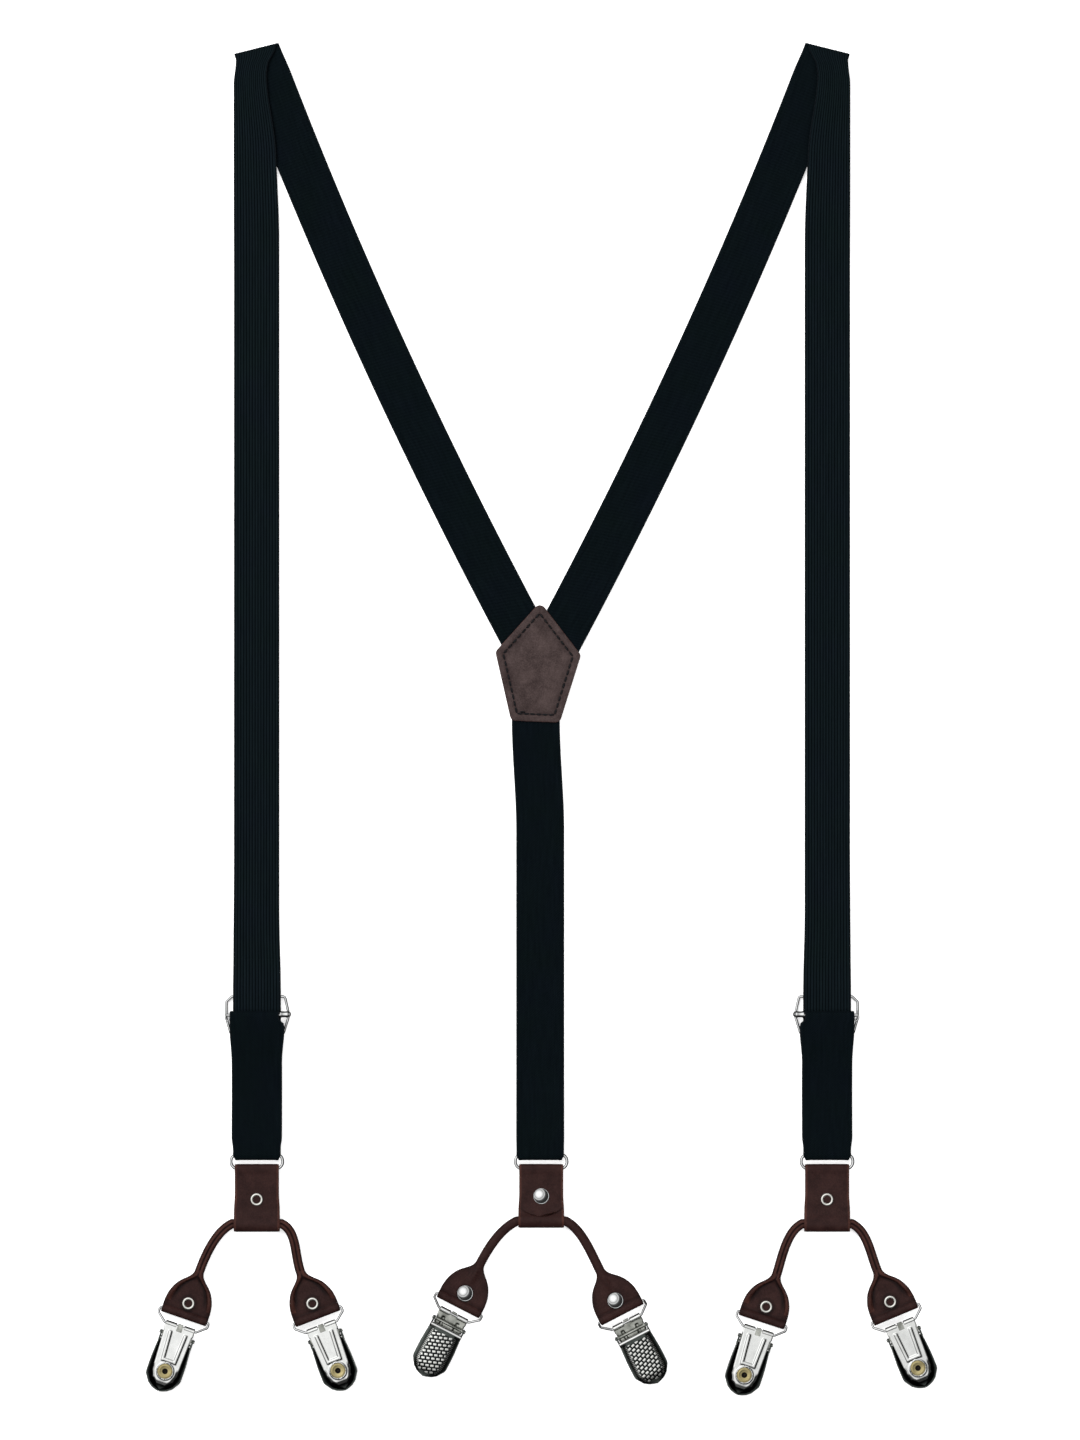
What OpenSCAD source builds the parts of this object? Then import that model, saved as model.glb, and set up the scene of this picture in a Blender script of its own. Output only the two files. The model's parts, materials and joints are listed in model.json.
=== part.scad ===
// Six-clip Y-back suspenders, laid flat with both shoulders folded over.
// Origin: underside of the back patch. +Y runs up the back to the shoulders,
// +Z points up from the surface the suspenders lie on. Millimetres.

/* [Webbing] */
// Width of the elastic webbing
web_w = 24; // [23:0.1:24.4]
// Thickness of the elastic webbing
web_t = 1.2; // [1:0.05:1.2]
// Width of the adjustable loop below each adjuster
loop_w = 25.2; // [24:0.1:25.4]
// Width of the webbing where it turns round a ring
turn_w = 22; // [20:0.5:22]

/* [Layout] */
// Distance from the middle to each front strap
front_x = 142.4; // [135:0.2:150]
// Height of the shoulder folds above the patch
fold_y = 304.5; // [290:0.5:320]
// Slant of each shoulder fold
fold_tilt = 14; // [8:1:18]
// How far each diagonal strap bows outward from a straight line
strap_bow = 6.3; // [0:0.1:10]
// Distance below the origin of the bars that hold the straps in the rings
ring_y = 246.9; // [240:0.1:250]
// Distance below the origin of each adjuster's hinge bar
adjuster_y = 177.3; // [165:0.1:190]
// Height of the middle of all rings, tabs and yokes
mid_z = 3.4; // [3.4:0.1:4]

/* [Back patch] */
// Length of the leather patch before its corners are rounded
patch_l = 59.9; // [52:0.1:65]
// Width of the leather patch at its side corners
patch_w = 42.9; // [38:0.1:46]
// Width of the leather patch at its lower edge
patch_foot = 24.4; // [24:0.1:28]
// Thickness of each patch leather
patch_t = 1.2; // [1:0.1:1.2]

/* [Leather tabs] */
// Width of each ring tab
tab_w = 22; // [20:0.5:22.3]
// Thickness of the leather
leather_t = 1.2; // [1:0.05:1.2]
// Distance from a ring's lower bar down to the middle of the yoke cord
tab_l = 25.9; // [24:0.1:30]
// Distance from the yoke cord up to the tab's rivet
rivet_up = 10.6; // [9:0.1:14]

/* [Yokes] */
// Radius of the rolled leather cord
cord_r = 1.8; // [1.5:0.05:1.8]
// Half length of the straight stretch of cord in the tab
cord_half = 12; // [11.4:0.1:13]
// Rivet place and slant of the left front yoke's outer end
left_outer_end = [-34.1, -41.3, -19]; // [-60:0.1:60]
// Rivet place and slant of the left front yoke's inner end
left_inner_end = [27.8, -41.4, 21]; // [-60:0.1:60]
// Rivet place and slant of the right front yoke's inner end
right_inner_end = [-30.4, -43, -18]; // [-60:0.1:60]
// Rivet place and slant of the right front yoke's outer end
right_outer_end = [31.5, -40.5, 22.7]; // [-60:0.1:60]
// Rivet place and slant of the back yoke's left end
back_left_end = [-38, -36.2, -27.2]; // [-60:0.1:60]
// Rivet place and slant of the back yoke's right end
back_right_end = [37, -39.8, 27.3]; // [-60:0.1:60]
// Length of the flared leather from its neck to its rivet
neck_l = 16; // [14:0.5:18]
// Half width of the flared leather at its folded foot
foot_half = 11.9; // [10:0.1:11.9]
// Distance from the end rivet down to the bail's upper bar
foot_drop = 6.3; // [6:0.1:8]

/* [Metal] */
// Radius of the ring wire
ring_r = 0.75; // [0.6:0.05:0.8]
// Radius of the bail wire
bail_r = 0.6; // [0.5:0.05:0.6]
// Distance between the two bars of a bail
bail_l = 6.4; // [6:0.1:8]
// Radius of the rivet caps
cap_r = 3.9; // [3.5:0.1:4.2]
// Height of the rivet caps
cap_h = 1.3; // [1:0.1:1.4]
// Half width of a clip's back plate at its head
plate_half = 7.6; // [7:0.1:7.6]
// Length of a clip's back plate below its bail bar
plate_l = 30; // [28:0.5:31]
// Half width of a clip's cover
cover_half = 9.2; // [9:0.1:9.6]
// Length of a clip's cover below its bail bar
cover_l = 33.3; // [32:0.1:35]
// Height of a clip's cover above its bail bar
crown_z = 5.2; // [5:0.1:6]

/* [Hidden] */
$fn = 48;
NAVY_BLACK = [0.05, 0.06, 0.08];
BROWN = [0.22, 0.16, 0.15];
CHROME = [0.8, 0.82, 0.84];
GUNMETAL = [0.35, 0.38, 0.38];
BRASS = [0.62, 0.52, 0.24];
BLACK = [0.03, 0.03, 0.03];

// Working gap between pieces that move on each other
gap = 0.05;
// Height of the straps where they lie between the patch leathers
strap_z = patch_t;
// Middle height of the gap between the two layers of a shoulder fold
fold_z = strap_z + web_t + gap;
// Spacing of a ring's two bars, half length of its straight bars, and radius of its corners
ring_span = 7.2;
ring_corner = 1.8;
ring_half = 11.2;
// Place of a ring's lower bar and of the cord under each tab
tab_y = -ring_y - ring_span;
loop_y = tab_y - tab_l;
// Clearance of the cord in its tab
cord_gap = 0.3;
// How the cord bends: its slopes as it leaves the tab and reaches a neck, and how far each holds
exit_angle = 18;
neck_angle = 80;
cord_pull = 11;
shank_r = 1.7;
// Bars of the adjuster: wire radius, its height and the hinge bar's height
frame_r = 0.65;
frame_z = 1.2;
hinge_r = 0.8;
adjuster_web_z = frame_z + frame_r + 0.6;
hinge_z = adjuster_web_z + web_t + gap + web_t + gap + hinge_r;
frame_up = 9.1;
// Thickness of the clip's sheet metal, pivot of its cover, and place of its grip rivet
sheet_t = 0.7;
pivot_y = -5.2;
pivot_z = 1.9;
pin_r = 1;
grip_y = -23.2;
// Lowest point of a clip that lies on its back
clip_back = 1.7;

// A closed outline with its corners rounded to radius r
function rounded(p, r, steps = 6) = [
    for (i = [0 : len(p) - 1])
        let (
            a = p[(i + len(p) - 1) % len(p)] - p[i],
            b = p[(i + 1) % len(p)] - p[i],
            u = a / norm(a),
            v = b / norm(b),
            half = acos(u * v) / 2,
            centre = p[i] + (u + v) / norm(u + v) * r / sin(half),
            start = p[i] + u * r / tan(half) - centre,
            finish = p[i] + v * r / tan(half) - centre,
            from = atan2(start.y, start.x),
            turn = (atan2(finish.y, finish.x) - from + 540) % 360 - 180
        )
        for (k = [0 : steps]) centre + r * [cos(from + turn * k / steps), sin(from + turn * k / steps)]
];

// Middle line of the left diagonal strap, from its fold (t = 0) to the patch (t = 1)
diagonal_end = [-0.5, -4];
function diagonal(t) =
    [-front_x, fold_y] * (1 - t) + diagonal_end * t - [strap_bow * 4 * t * (1 - t), 0];
function diagonal_side(t) =
    let (run = diagonal_end - [-front_x, fold_y] - [strap_bow * 4 * (1 - 2 * t), 0])
    [-run.y, run.x] / norm(run);

// Mirrors the left-hand shape given to the right
module on(side) {
    if (side == "left") children();
    else mirror([1, 0, 0]) children();
}

// A profile in Y and Z, drawn out along X
module across(width) {
    rotate([90, 0, 90]) linear_extrude(width, center = true) children();
}

// Side view of a run of webbing along a middle line given as points in Y and Z
module webbing(path) {
    last = len(path) - 1;
    side = [
        for (i = [0 : last])
            let (
                a = path[i] - path[max(i - 1, 0)],
                b = path[min(i + 1, last)] - path[i],
                u = a / max(norm(a), 0.001) + b / max(norm(b), 0.001),
                v = [-u.y, u.x] / norm(u)
            )
            v * web_t / 2
    ];
    polygon(concat(path + side, [for (i = [0 : last]) path[last - i] - side[last - i]]));
}

// Middle line of a turn of webbing round a bar, from its upper side to its lower side
function turn(y, z, bar_r, way, steps = 12) = [
    for (i = [0 : steps])
        [y, z] + (bar_r + gap + web_t / 2) * [way * sin(180 * i / steps), cos(180 * i / steps)]
];

// Plan of webbing that narrows towards a ring
module narrowing_plan(top, width) {
    foot = -ring_y - 4;
    narrow = -ring_y + 3;
    linear_extrude(20, center = true) polygon([
        [-width / 2, top], [-width / 2, narrow + 4], [-turn_w / 2, narrow], [-turn_w / 2, foot],
        [turn_w / 2, foot], [turn_w / 2, narrow], [width / 2, narrow + 4], [width / 2, top]
    ]);
}

// A vector made one long
function unit(v) = v / norm(v);

// A straight wire between two points
module wire(a, b, r) {
    run = b - a;
    flat = norm([run.x, run.y]);
    translate(a) rotate([0, atan2(flat, run.z), atan2(run.y, run.x)]) cylinder(r = r, h = norm(run));
}

// A closed wire loop in a plane, bent round each of the given corners
module wire_loop(corners, r, bend_r) {
    count = len(corners);
    // The straights run a little way into the bends, which swell to hold them
    lap = 0.1;
    swell = 1.03;
    function half_angle(i) =
        let (
            before = unit(corners[(i + count - 1) % count] - corners[i % count]),
            after = unit(corners[(i + 1) % count] - corners[i % count])
        )
        acos(before * after) / 2;
    for (i = [0 : count - 1]) {
        here = corners[i];
        before = unit(corners[(i + count - 1) % count] - here);
        after = unit(corners[(i + 1) % count] - here);
        half = half_angle(i);
        centre = here + unit(before + after) * bend_r / sin(half);
        start = here + before * bend_r / tan(half) - centre;
        finish = here + after * (bend_r / tan(half) - lap);
        turn = 180 - 2 * half;
        clockwise = before.x * after.y - before.y * after.x > 0;
        translate([centre.x, centre.y, 0]) rotate(atan2(start.y, start.x) - (clockwise ? turn : 0))
            rotate_extrude(angle = turn) translate([bend_r, 0]) circle(r * swell);
        next = corners[(i + 1) % count] - after * (bend_r / tan(half_angle(i + 1)) - lap);
        wire([finish.x, finish.y, 0], [next.x, next.y, 0], r);
    }
}

// Room beyond the left shoulder fold
module past_fold() {
    translate([-front_x, fold_y, -1]) rotate(fold_tilt) translate([-40, -gap, 0]) cube([80, 40, 10]);
}

module patch_outline() {
    top = patch_l * 0.485;
    shoulder = top - patch_l * 0.43;
    translate([-2.05, 0]) rotate(-2.3) polygon(rounded([
        [0, top], [-patch_w / 2, shoulder], [-patch_foot / 2, top - patch_l],
        [patch_foot / 2, top - patch_l], [patch_w / 2, shoulder]
    ], 3));
}

module patch_back() {
    color(BROWN) linear_extrude(patch_t) patch_outline();
}

module patch_front() {
    color(BROWN) translate([0, 0, strap_z + web_t]) linear_extrude(patch_t) patch_outline();
}

module diagonal_strap(side) {
    steps = 16;
    color(NAVY_BLACK) on(side) difference() {
        translate([0, 0, strap_z]) linear_extrude(web_t) polygon(concat(
            [for (i = [-1 : steps]) diagonal(i / steps) + diagonal_side(i / steps) * web_w / 2],
            [for (i = [-1 : steps]) diagonal(1 - (i + 1) / steps) - diagonal_side(1 - (i + 1) / steps) * web_w / 2]
        ));
        past_fold();
        // The two straps meet on the middle line under the patch
        translate([-0.6, -60, 0]) cube([40, 120, 10]);
        translate([-30, -46, 0]) cube([60, 40, 10]);
    }
}

module back_strap() {
    half = web_t / 2;
    over = mid_z + ring_r + gap + half;
    under = mid_z - ring_r - gap - half;
    color(NAVY_BLACK) translate([-1, 0, 0]) intersection() {
        across(web_w) webbing(concat(
            [[-6.2, strap_z + half], [-ring_y + 27, strap_z + half], [-ring_y + 9, over - 0.6]],
            turn(-ring_y, mid_z, ring_r, -1),
            [[-ring_y + 9, under - 0.2], [-ring_y + 22, half]]
        ));
        narrowing_plan(0, web_w);
    }
}

module front_strap(side) {
    half = web_t / 2;
    fold = fold_z + gap + half;
    under = mid_z - ring_r - gap - half;
    y = -adjuster_y;
    color(NAVY_BLACK) on(side) difference() {
        translate([-front_x, 0, 0]) intersection() {
            across(web_w) webbing([
                [fold_y + 10, fold], [fold_y - 60, fold], [fold_y - 110, half], [y + 26, half],
                [y + 13, adjuster_web_z + half], [y - 12, adjuster_web_z + half], [y - 28, 0.4 + half],
                [-ring_y + 9, under - 0.2], [-ring_y + 0.3, under]
            ]);
            narrowing_plan(fold_y + 10, web_w);
        }
        past_fold();
    }
}

// The webbing between the adjuster's hinge bar and the ring, turned round both
module loop_strap(side) {
    half = web_t / 2;
    y = -adjuster_y;
    over = mid_z + ring_r + gap + half;
    tail = adjuster_web_z + web_t + gap + half;
    color(NAVY_BLACK) on(side) translate([-front_x, 0, 0]) intersection() {
        across(loop_w) webbing(concat(
            [[y - 13, tail]],
            [for (p = turn(y, hinge_z, hinge_r, 1, 12)) [p.x, 2 * hinge_z - p.y]],
            [
                [y - 6, hinge_z + 0.9], [y - 14, tail + web_t + gap], [y - 22, 3.6 + half],
                [y - 34, 2.2 + half], [-ring_y + 22, 2.6 + half], [-ring_y + 8, over - 0.4]
            ],
            turn(-ring_y, mid_z, ring_r, -1)
        ));
        narrowing_plan(y + 10, loop_w);
    }
}

module adjuster_frame(side) {
    color(CHROME) on(side) translate([-front_x, -adjuster_y, 0]) {
        translate([0, 0, frame_z]) wire_loop([
            [-12.9, frame_up], [-15.4, frame_up - 2.4], [-15.4, -1.5], [-13.4, -9.4],
            [13.4, -9.4], [15.4, -1.5], [15.4, frame_up - 2.4], [12.9, frame_up]
        ], frame_r, 1.5);
        // Upright lugs that carry the hinge bar
        for (x = [-15.6, 14.4]) translate([x, -1.6, frame_z - 0.4]) cube([1.2, 3.2, hinge_z - frame_z + 1.2]);
        translate([0, 0, hinge_z]) rotate([0, 90, 0]) {
            cylinder(r = hinge_r, h = 32, center = true);
            translate([0, 0, 12.9]) cylinder(r = 1.8, h = 3.4);
            translate([0, 0, -16.4]) cylinder(r = 1.5, h = 2.4);
        }
    }
}

// Toothed plate that presses the strap, hung on the frame's upper bar
module adjuster_lever(side) {
    bore_r = frame_r + gap;
    color(GUNMETAL) on(side) translate([-front_x, frame_up - adjuster_y, frame_z]) difference() {
        union() {
            rotate([0, 90, 0]) cylinder(r = frame_r + 0.5, h = 20, center = true);
            translate([-11.5, -14.5, -0.5]) cube([23, 13.8, 0.9]);
            for (x = [-9 : 3 : 9]) translate([x - 0.6, -3.6, 0]) cube([1.2, 0.8, 0.9]);
        }
        rotate([0, 90, 0]) cylinder(r = bore_r, h = 24, center = true);
    }
}

// Round-cornered wire ring, its upper bar at the given place
module ring_at(x) {
    color(CHROME) translate([x, -ring_y - ring_span / 2, mid_z]) {
        straight = ring_span / 2 - ring_corner;
        for (s = [-1, 1]) {
            translate([0, s * ring_span / 2, 0]) rotate([0, 90, 0])
                cylinder(r = ring_r, h = 2 * ring_half, center = true);
            translate([s * (ring_half + ring_corner), 0, 0]) rotate([90, 0, 0])
                cylinder(r = ring_r, h = 2 * straight, center = true);
        }
        for (turn = [0 : 3]) {
            sx = turn == 0 || turn == 3 ? 1 : -1;
            sy = turn < 2 ? 1 : -1;
            translate([sx * ring_half, sy * straight, 0]) rotate(turn * 90)
                rotate_extrude(angle = 90) translate([ring_corner, 0]) circle(ring_r);
        }
    }
}

// Strap of leather folded round the ring and round the yoke cord
module tab_at(x) {
    color(BROWN) translate([x, tab_y, mid_z]) difference() {
        across(tab_w) difference() {
            union() {
                circle(ring_r + 0.1 + leather_t);
                translate([-tab_l, 0]) circle(cord_r + cord_gap + leather_t);
                polygon([
                    [0, 1.6], [-6, leather_t], [-20, leather_t], [-tab_l + 1.7, 2.4],
                    [-tab_l + 1.7, -2.4], [-20, -leather_t], [-6, -leather_t], [0, -1.6]
                ]);
            }
            circle(ring_r + 0.1);
            translate([-tab_l, 0]) circle(cord_r + cord_gap);
        }
        translate([0, rivet_up - tab_l, -5]) cylinder(r = shank_r + gap, h = 10);
    }
}

// Rivet with a domed cap on its face side and a rolled eyelet on its back
module rivet(eyelet_r, hole_r) {
    dome_r = (cap_r * cap_r + cap_h * cap_h) / (2 * cap_h);
    difference() {
        union() {
            translate([0, 0, leather_t]) rotate_extrude() intersection() {
                translate([0, cap_h - dome_r]) circle(dome_r, $fn = 160);
                square([cap_r + 1, cap_h + 1]);
            }
            translate([0, 0, -leather_t - 0.3]) cylinder(r = shank_r, h = 2 * leather_t + 0.5);
            translate([0, 0, -leather_t - 0.5]) cylinder(r = eyelet_r, h = 0.5);
        }
        translate([0, 0, -leather_t - 1]) cylinder(r = hole_r, h = leather_t + 1);
    }
}

module tab_rivet_at(x, face_down) {
    color(CHROME) translate([x, loop_y + rivet_up, mid_z]) rotate([0, face_down ? 180 : 0, 0])
        rivet(3.3, 1.5);
}

// Moves to the rivet of one end of a yoke, with -Y pointing at the clip
module at_end(x, end) {
    translate([x + end.x, loop_y + end.y, mid_z]) rotate(end.z) children();
}

// Middle line of the cord beyond one side of the tab: one curve down to that end's neck
function cord_path(end, steps = 7) =
    let (
        slant = abs(end.z),
        a = [cord_half, 0, 0],
        d = [abs(end.x) - neck_l * sin(slant), end.y + neck_l * cos(slant), 0],
        b = a + cord_pull * [cos(exit_angle), -sin(exit_angle), 0],
        c = d - cord_pull * [cos(neck_angle), -sin(neck_angle), 0]
    )
    concat(
        [for (i = [0 : steps])
            let (t = i / steps, u = 1 - t)
            u * u * u * a + 3 * u * u * t * b + 3 * u * t * t * c + t * t * t * d
        ],
        [d + 2 * [cos(neck_angle), -sin(neck_angle), 0]]
    );

// Rolled cord swept along its path
module cord(path, sides = 12) {
    last = len(path) - 1;
    polyhedron(
        points = [for (i = [0 : last])
            let (along = unit(path[min(i + 1, last)] - path[max(i - 1, 0)]))
            for (k = [0 : sides - 1])
                path[i] + cord_r * (cos(360 * k / sides) * [-along.y, along.x, 0]
                    + sin(360 * k / sides) * [0, 0, 1])
        ],
        faces = concat(
            [[for (k = [0 : sides - 1]) k], [for (k = [0 : sides - 1]) last * sides + sides - 1 - k]],
            [for (i = [1 : last]) for (k = [0 : sides - 1]) [
                (i - 1) * sides + k, i * sides + k,
                i * sides + (k + 1) % sides, (i - 1) * sides + (k + 1) % sides
            ]]
        )
    );
}

// Flared leather at a yoke's end, folded round the bail
module flared_end() {
    side = [
        [foot_half, -foot_drop], [foot_half, -1], [11.2, 3], [9.3, 7.3], [6, 11.2],
        [3.2, 14], [1.6, neck_l]
    ];
    last = len(side) - 1;
    difference() {
        union() {
            translate([0, 0, -leather_t]) linear_extrude(2 * leather_t)
                polygon(concat(side, [for (i = [0 : last]) [-side[last - i].x, side[last - i].y]]));
            translate([0, -foot_drop, 0]) rotate([0, 90, 0])
                cylinder(r = bail_r + 0.1 + leather_t, h = 2 * foot_half, center = true);
        }
        translate([0, -foot_drop, 0]) rotate([0, 90, 0])
            cylinder(r = bail_r + 0.1, h = 30, center = true);
        translate([0, 0, -5]) cylinder(r = shank_r + gap, h = 10);
    }
}

module yoke_at(x, ends) {
    left = cord_path(ends[0]);
    color(BROWN) {
        translate([x, loop_y, mid_z]) cord(concat(
            [for (i = [len(left) - 1 : -1 : 0]) [-left[i].x, left[i].y, 0]], cord_path(ends[1])
        ));
        for (end = ends) at_end(x, end) flared_end();
    }
}

module yoke_rivets_at(x, ends, face_down) {
    color(CHROME) for (end = ends) at_end(x, end) rotate([0, face_down ? 180 : 0, 0]) rivet(3.1, 1.4);
}

// Height of a clip's bail bar when it lies on its back or on its cover
function bar_z(face_down) = face_down ? crown_z : clip_back;
function bail_pitch(face_down) = -asin((bar_z(face_down) - mid_z) / bail_l);

module bail_at(x, end, face_down) {
    top = foot_half + 0.9;
    foot = plate_half + 0.7;
    color(CHROME) at_end(x, end) translate([0, -foot_drop, 0]) rotate([bail_pitch(face_down), 0, 0])
        wire_loop([
            [-top, 0], [-top, -2.6], [-foot, -bail_l], [foot, -bail_l], [top, -2.6], [top, 0]
        ], bail_r, 0.8);
}

// Moves to a clip's bail bar, with +Z on the clip's face side
module at_clip(x, end, face_down) {
    reach = bail_l * cos(bail_pitch(face_down));
    at_end(x, end) translate([0, -foot_drop - reach, bar_z(face_down) - mid_z])
        rotate([0, face_down ? 180 : 0, 0]) children();
}

// Back plate: rolled head round the bail bar, two ears with pivot pins, eight-sided foot
module clip_plate() {
    head_r = bail_r + gap + sheet_t;
    half = [
        [plate_half, 0], [plate_half, -3], [plate_half - 0.4, -3.4], [6.4, -plate_l + 5.5],
        [5.2, -plate_l + 2.4], [2.4, -plate_l]
    ];
    last = len(half) - 1;
    color(CHROME) difference() {
        union() {
            translate([0, 0, -1.2]) linear_extrude(sheet_t)
                polygon(concat(half, [for (i = [0 : last]) [-half[last - i].x, half[last - i].y]]));
            rotate([0, 90, 0]) cylinder(r = head_r, h = 2 * plate_half, center = true);
            for (s = [-1, 1]) {
                translate([s * 7.15 - 0.35, -7.2, -0.9]) cube([0.7, 4, 4.6]);
                translate([s * 8, pivot_y, pivot_z]) rotate([0, 90, 0])
                    cylinder(r = pin_r, h = 1.8, center = true);
            }
        }
        rotate([0, 90, 0]) cylinder(r = bail_r + gap, h = 20, center = true);
        // Notch between the two knuckles of the head
        translate([-1.6, -1.2, -0.5]) cube([3.2, 4, 4]);
        translate([0, grip_y, -3]) cylinder(r = 1.9 + gap, h = 6);
    }
}

module cover_outline(half, foot) {
    side = [[half - 1.4, -7.9], [half - 0.3, -14], [half, -22], [half - 0.4, -26.5], [half - 2.2, -30.4],
        [3.4, foot + 0.6], [0.9, foot]];
    last = len(side) - 1;
    polygon(concat(side, [for (i = [0 : last]) [-side[last - i].x, side[last - i].y]]));
}

// Cover and lever in one: a crowned shell with two pivot arms and a clamping rib
module clip_cover() {
    crown_r = 15.5;
    color(GUNMETAL) difference() {
        union() {
            difference() {
                intersection() {
                    linear_extrude(8) cover_outline(cover_half, -cover_l);
                    translate([0, 0, crown_z - crown_r]) rotate([90, 0, 0])
                        cylinder(r = crown_r, h = 60, $fn = 160);
                }
                intersection() {
                    translate([0, 0, -1]) linear_extrude(9)
                        cover_outline(cover_half - sheet_t, -cover_l + sheet_t);
                    translate([0, 0, crown_z - crown_r]) rotate([90, 0, 0])
                        cylinder(r = crown_r - sheet_t, h = 60, $fn = 160);
                }
            }
            // Arms to the pivot pins
            for (s = [-1, 1]) translate([s * 8.05 - 0.35, -9.2, 0.5]) cube([0.7, 5.4, 2.9]);
            // Rolled upper edge
            translate([0, -8.4, 3.6]) rotate([0, 90, 0]) cylinder(r = 0.9, h = 15.6, center = true);
            // Rib that clamps cloth on the grip pad
            translate([-6, -24, 1.6]) cube([12, 2, 2.9]);
        }
        translate([0, pivot_y, pivot_z]) rotate([0, 90, 0]) cylinder(r = pin_r + gap, h = 30, center = true);
        // Clear space between the arms for the plate's ears
        translate([-7.7, -7.4, -1]) cube([15.4, 6, 8]);
    }
}

module grip_pad() {
    color(BLACK) difference() {
        union() {
            translate([-5.4, -27.6, -0.5]) cube([10.8, 9, 1]);
            for (y = [-27 : 1.6 : -20]) translate([-5.4, y, 0.4]) cube([10.8, 0.8, 0.6]);
        }
        translate([0, grip_y, -3]) cylinder(r = 1.9 + gap, h = 6);
    }
}

// Tubular rivet that fixes the grip pad to the back plate
module clip_rivet() {
    color(BRASS) translate([0, grip_y, 0]) difference() {
        union() {
            translate([0, 0, -clip_back]) cylinder(r = 3.3, h = clip_back - 1.2);
            translate([0, 0, -1.5]) cylinder(r = 1.9, h = 2.2);
        }
        translate([0, 0, -3]) cylinder(r = 1.3, h = 3.4);
    }
}

// The three groups of leather and clips: place and ends
left_ends = [left_outer_end, left_inner_end];
right_ends = [right_inner_end, right_outer_end];
back_ends = [back_left_end, back_right_end];
back_x = -0.4;

patch_front();
patch_back();
diagonal_strap("left");  // left_diagonal_strap
diagonal_strap("right");  // right_diagonal_strap
back_strap();
front_strap("left");  // left_front_strap
front_strap("right");  // right_front_strap
loop_strap("left");  // left_loop_strap
loop_strap("right");  // right_loop_strap
adjuster_frame("left");  // left_adjuster_frame
adjuster_frame("right");  // right_adjuster_frame
adjuster_lever("left");  // left_adjuster_lever
adjuster_lever("right");  // right_adjuster_lever
ring_at(-front_x);  // left_ring
ring_at(front_x);  // right_ring
ring_at(back_x);  // back_ring
tab_at(-front_x);  // left_tab
tab_at(front_x);  // right_tab
tab_at(back_x);  // back_tab
tab_rivet_at(-front_x, true);  // left_tab_rivet
tab_rivet_at(front_x, true);  // right_tab_rivet
tab_rivet_at(back_x, false);  // back_tab_rivet
yoke_at(-front_x, left_ends);  // left_yoke
yoke_at(front_x, right_ends);  // right_yoke
yoke_at(back_x, back_ends);  // back_yoke
yoke_rivets_at(-front_x, left_ends, true);  // left_yoke_rivets
yoke_rivets_at(front_x, right_ends, true);  // right_yoke_rivets
yoke_rivets_at(back_x, back_ends, false);  // back_yoke_rivets
bail_at(-front_x, left_outer_end, true);  // left_outer_bail
bail_at(-front_x, left_inner_end, true);  // left_inner_bail
bail_at(front_x, right_inner_end, true);  // right_inner_bail
bail_at(front_x, right_outer_end, true);  // right_outer_bail
bail_at(back_x, back_left_end, false);  // back_left_bail
bail_at(back_x, back_right_end, false);  // back_right_bail

// Each clip: name, middle of its group, its end of the yoke, and whether it lies face down
CLIPS = [
    ["left_outer", -front_x, left_outer_end, true], ["left_inner", -front_x, left_inner_end, true],
    ["right_inner", front_x, right_inner_end, true], ["right_outer", front_x, right_outer_end, true],
    ["back_left", back_x, back_left_end, false], ["back_right", back_x, back_right_end, false]
];
for (clip = CLIPS) at_clip(clip[1], clip[2], clip[3]) {
    clip_plate();
    clip_cover();
    grip_pad();
    clip_rivet();
}
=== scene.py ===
import json
import math

import bmesh
import bpy
import numpy as np
from mathutils import Matrix, Vector


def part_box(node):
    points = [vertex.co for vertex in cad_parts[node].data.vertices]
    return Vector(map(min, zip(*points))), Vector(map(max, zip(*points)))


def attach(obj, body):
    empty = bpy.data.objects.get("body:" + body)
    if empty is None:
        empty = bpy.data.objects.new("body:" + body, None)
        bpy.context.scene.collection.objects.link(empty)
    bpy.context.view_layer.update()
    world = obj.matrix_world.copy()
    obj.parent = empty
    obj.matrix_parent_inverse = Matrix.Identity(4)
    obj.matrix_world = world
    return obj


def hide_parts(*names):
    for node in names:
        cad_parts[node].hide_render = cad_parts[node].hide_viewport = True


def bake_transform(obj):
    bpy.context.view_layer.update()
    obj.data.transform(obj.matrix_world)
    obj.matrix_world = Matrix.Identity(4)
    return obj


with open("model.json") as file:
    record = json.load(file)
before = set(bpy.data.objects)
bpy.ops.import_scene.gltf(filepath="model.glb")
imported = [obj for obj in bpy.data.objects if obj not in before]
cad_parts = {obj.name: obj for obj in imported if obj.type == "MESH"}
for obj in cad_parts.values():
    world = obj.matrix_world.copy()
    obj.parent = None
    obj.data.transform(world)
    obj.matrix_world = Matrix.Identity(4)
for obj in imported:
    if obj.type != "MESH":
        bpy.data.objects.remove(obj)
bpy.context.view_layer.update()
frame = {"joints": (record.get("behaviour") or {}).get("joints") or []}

# Visual model of six-clip Y-back suspenders laid flat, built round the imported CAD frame.
# Lengths are in millimetres until a mesh is made, and angles are in degrees.

JOINTS = {joint["name"]: joint for joint in frame["joints"]}
SIDES = {"left": 1, "right": -1}
GROUPS = {
    "left": ("left_outer", "left_inner"),
    "right": ("right_inner", "right_outer"),
    "back": ("back_left", "back_right"),
}

# Webbing
RIBS = 15
RIB_DEPTH = 0.16
BEAD = 0.9

# Leather
SHEET = 0.8
FOOT_DROP = 6.3
NECK = 16.0
FOOT_R = 1.9

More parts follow.
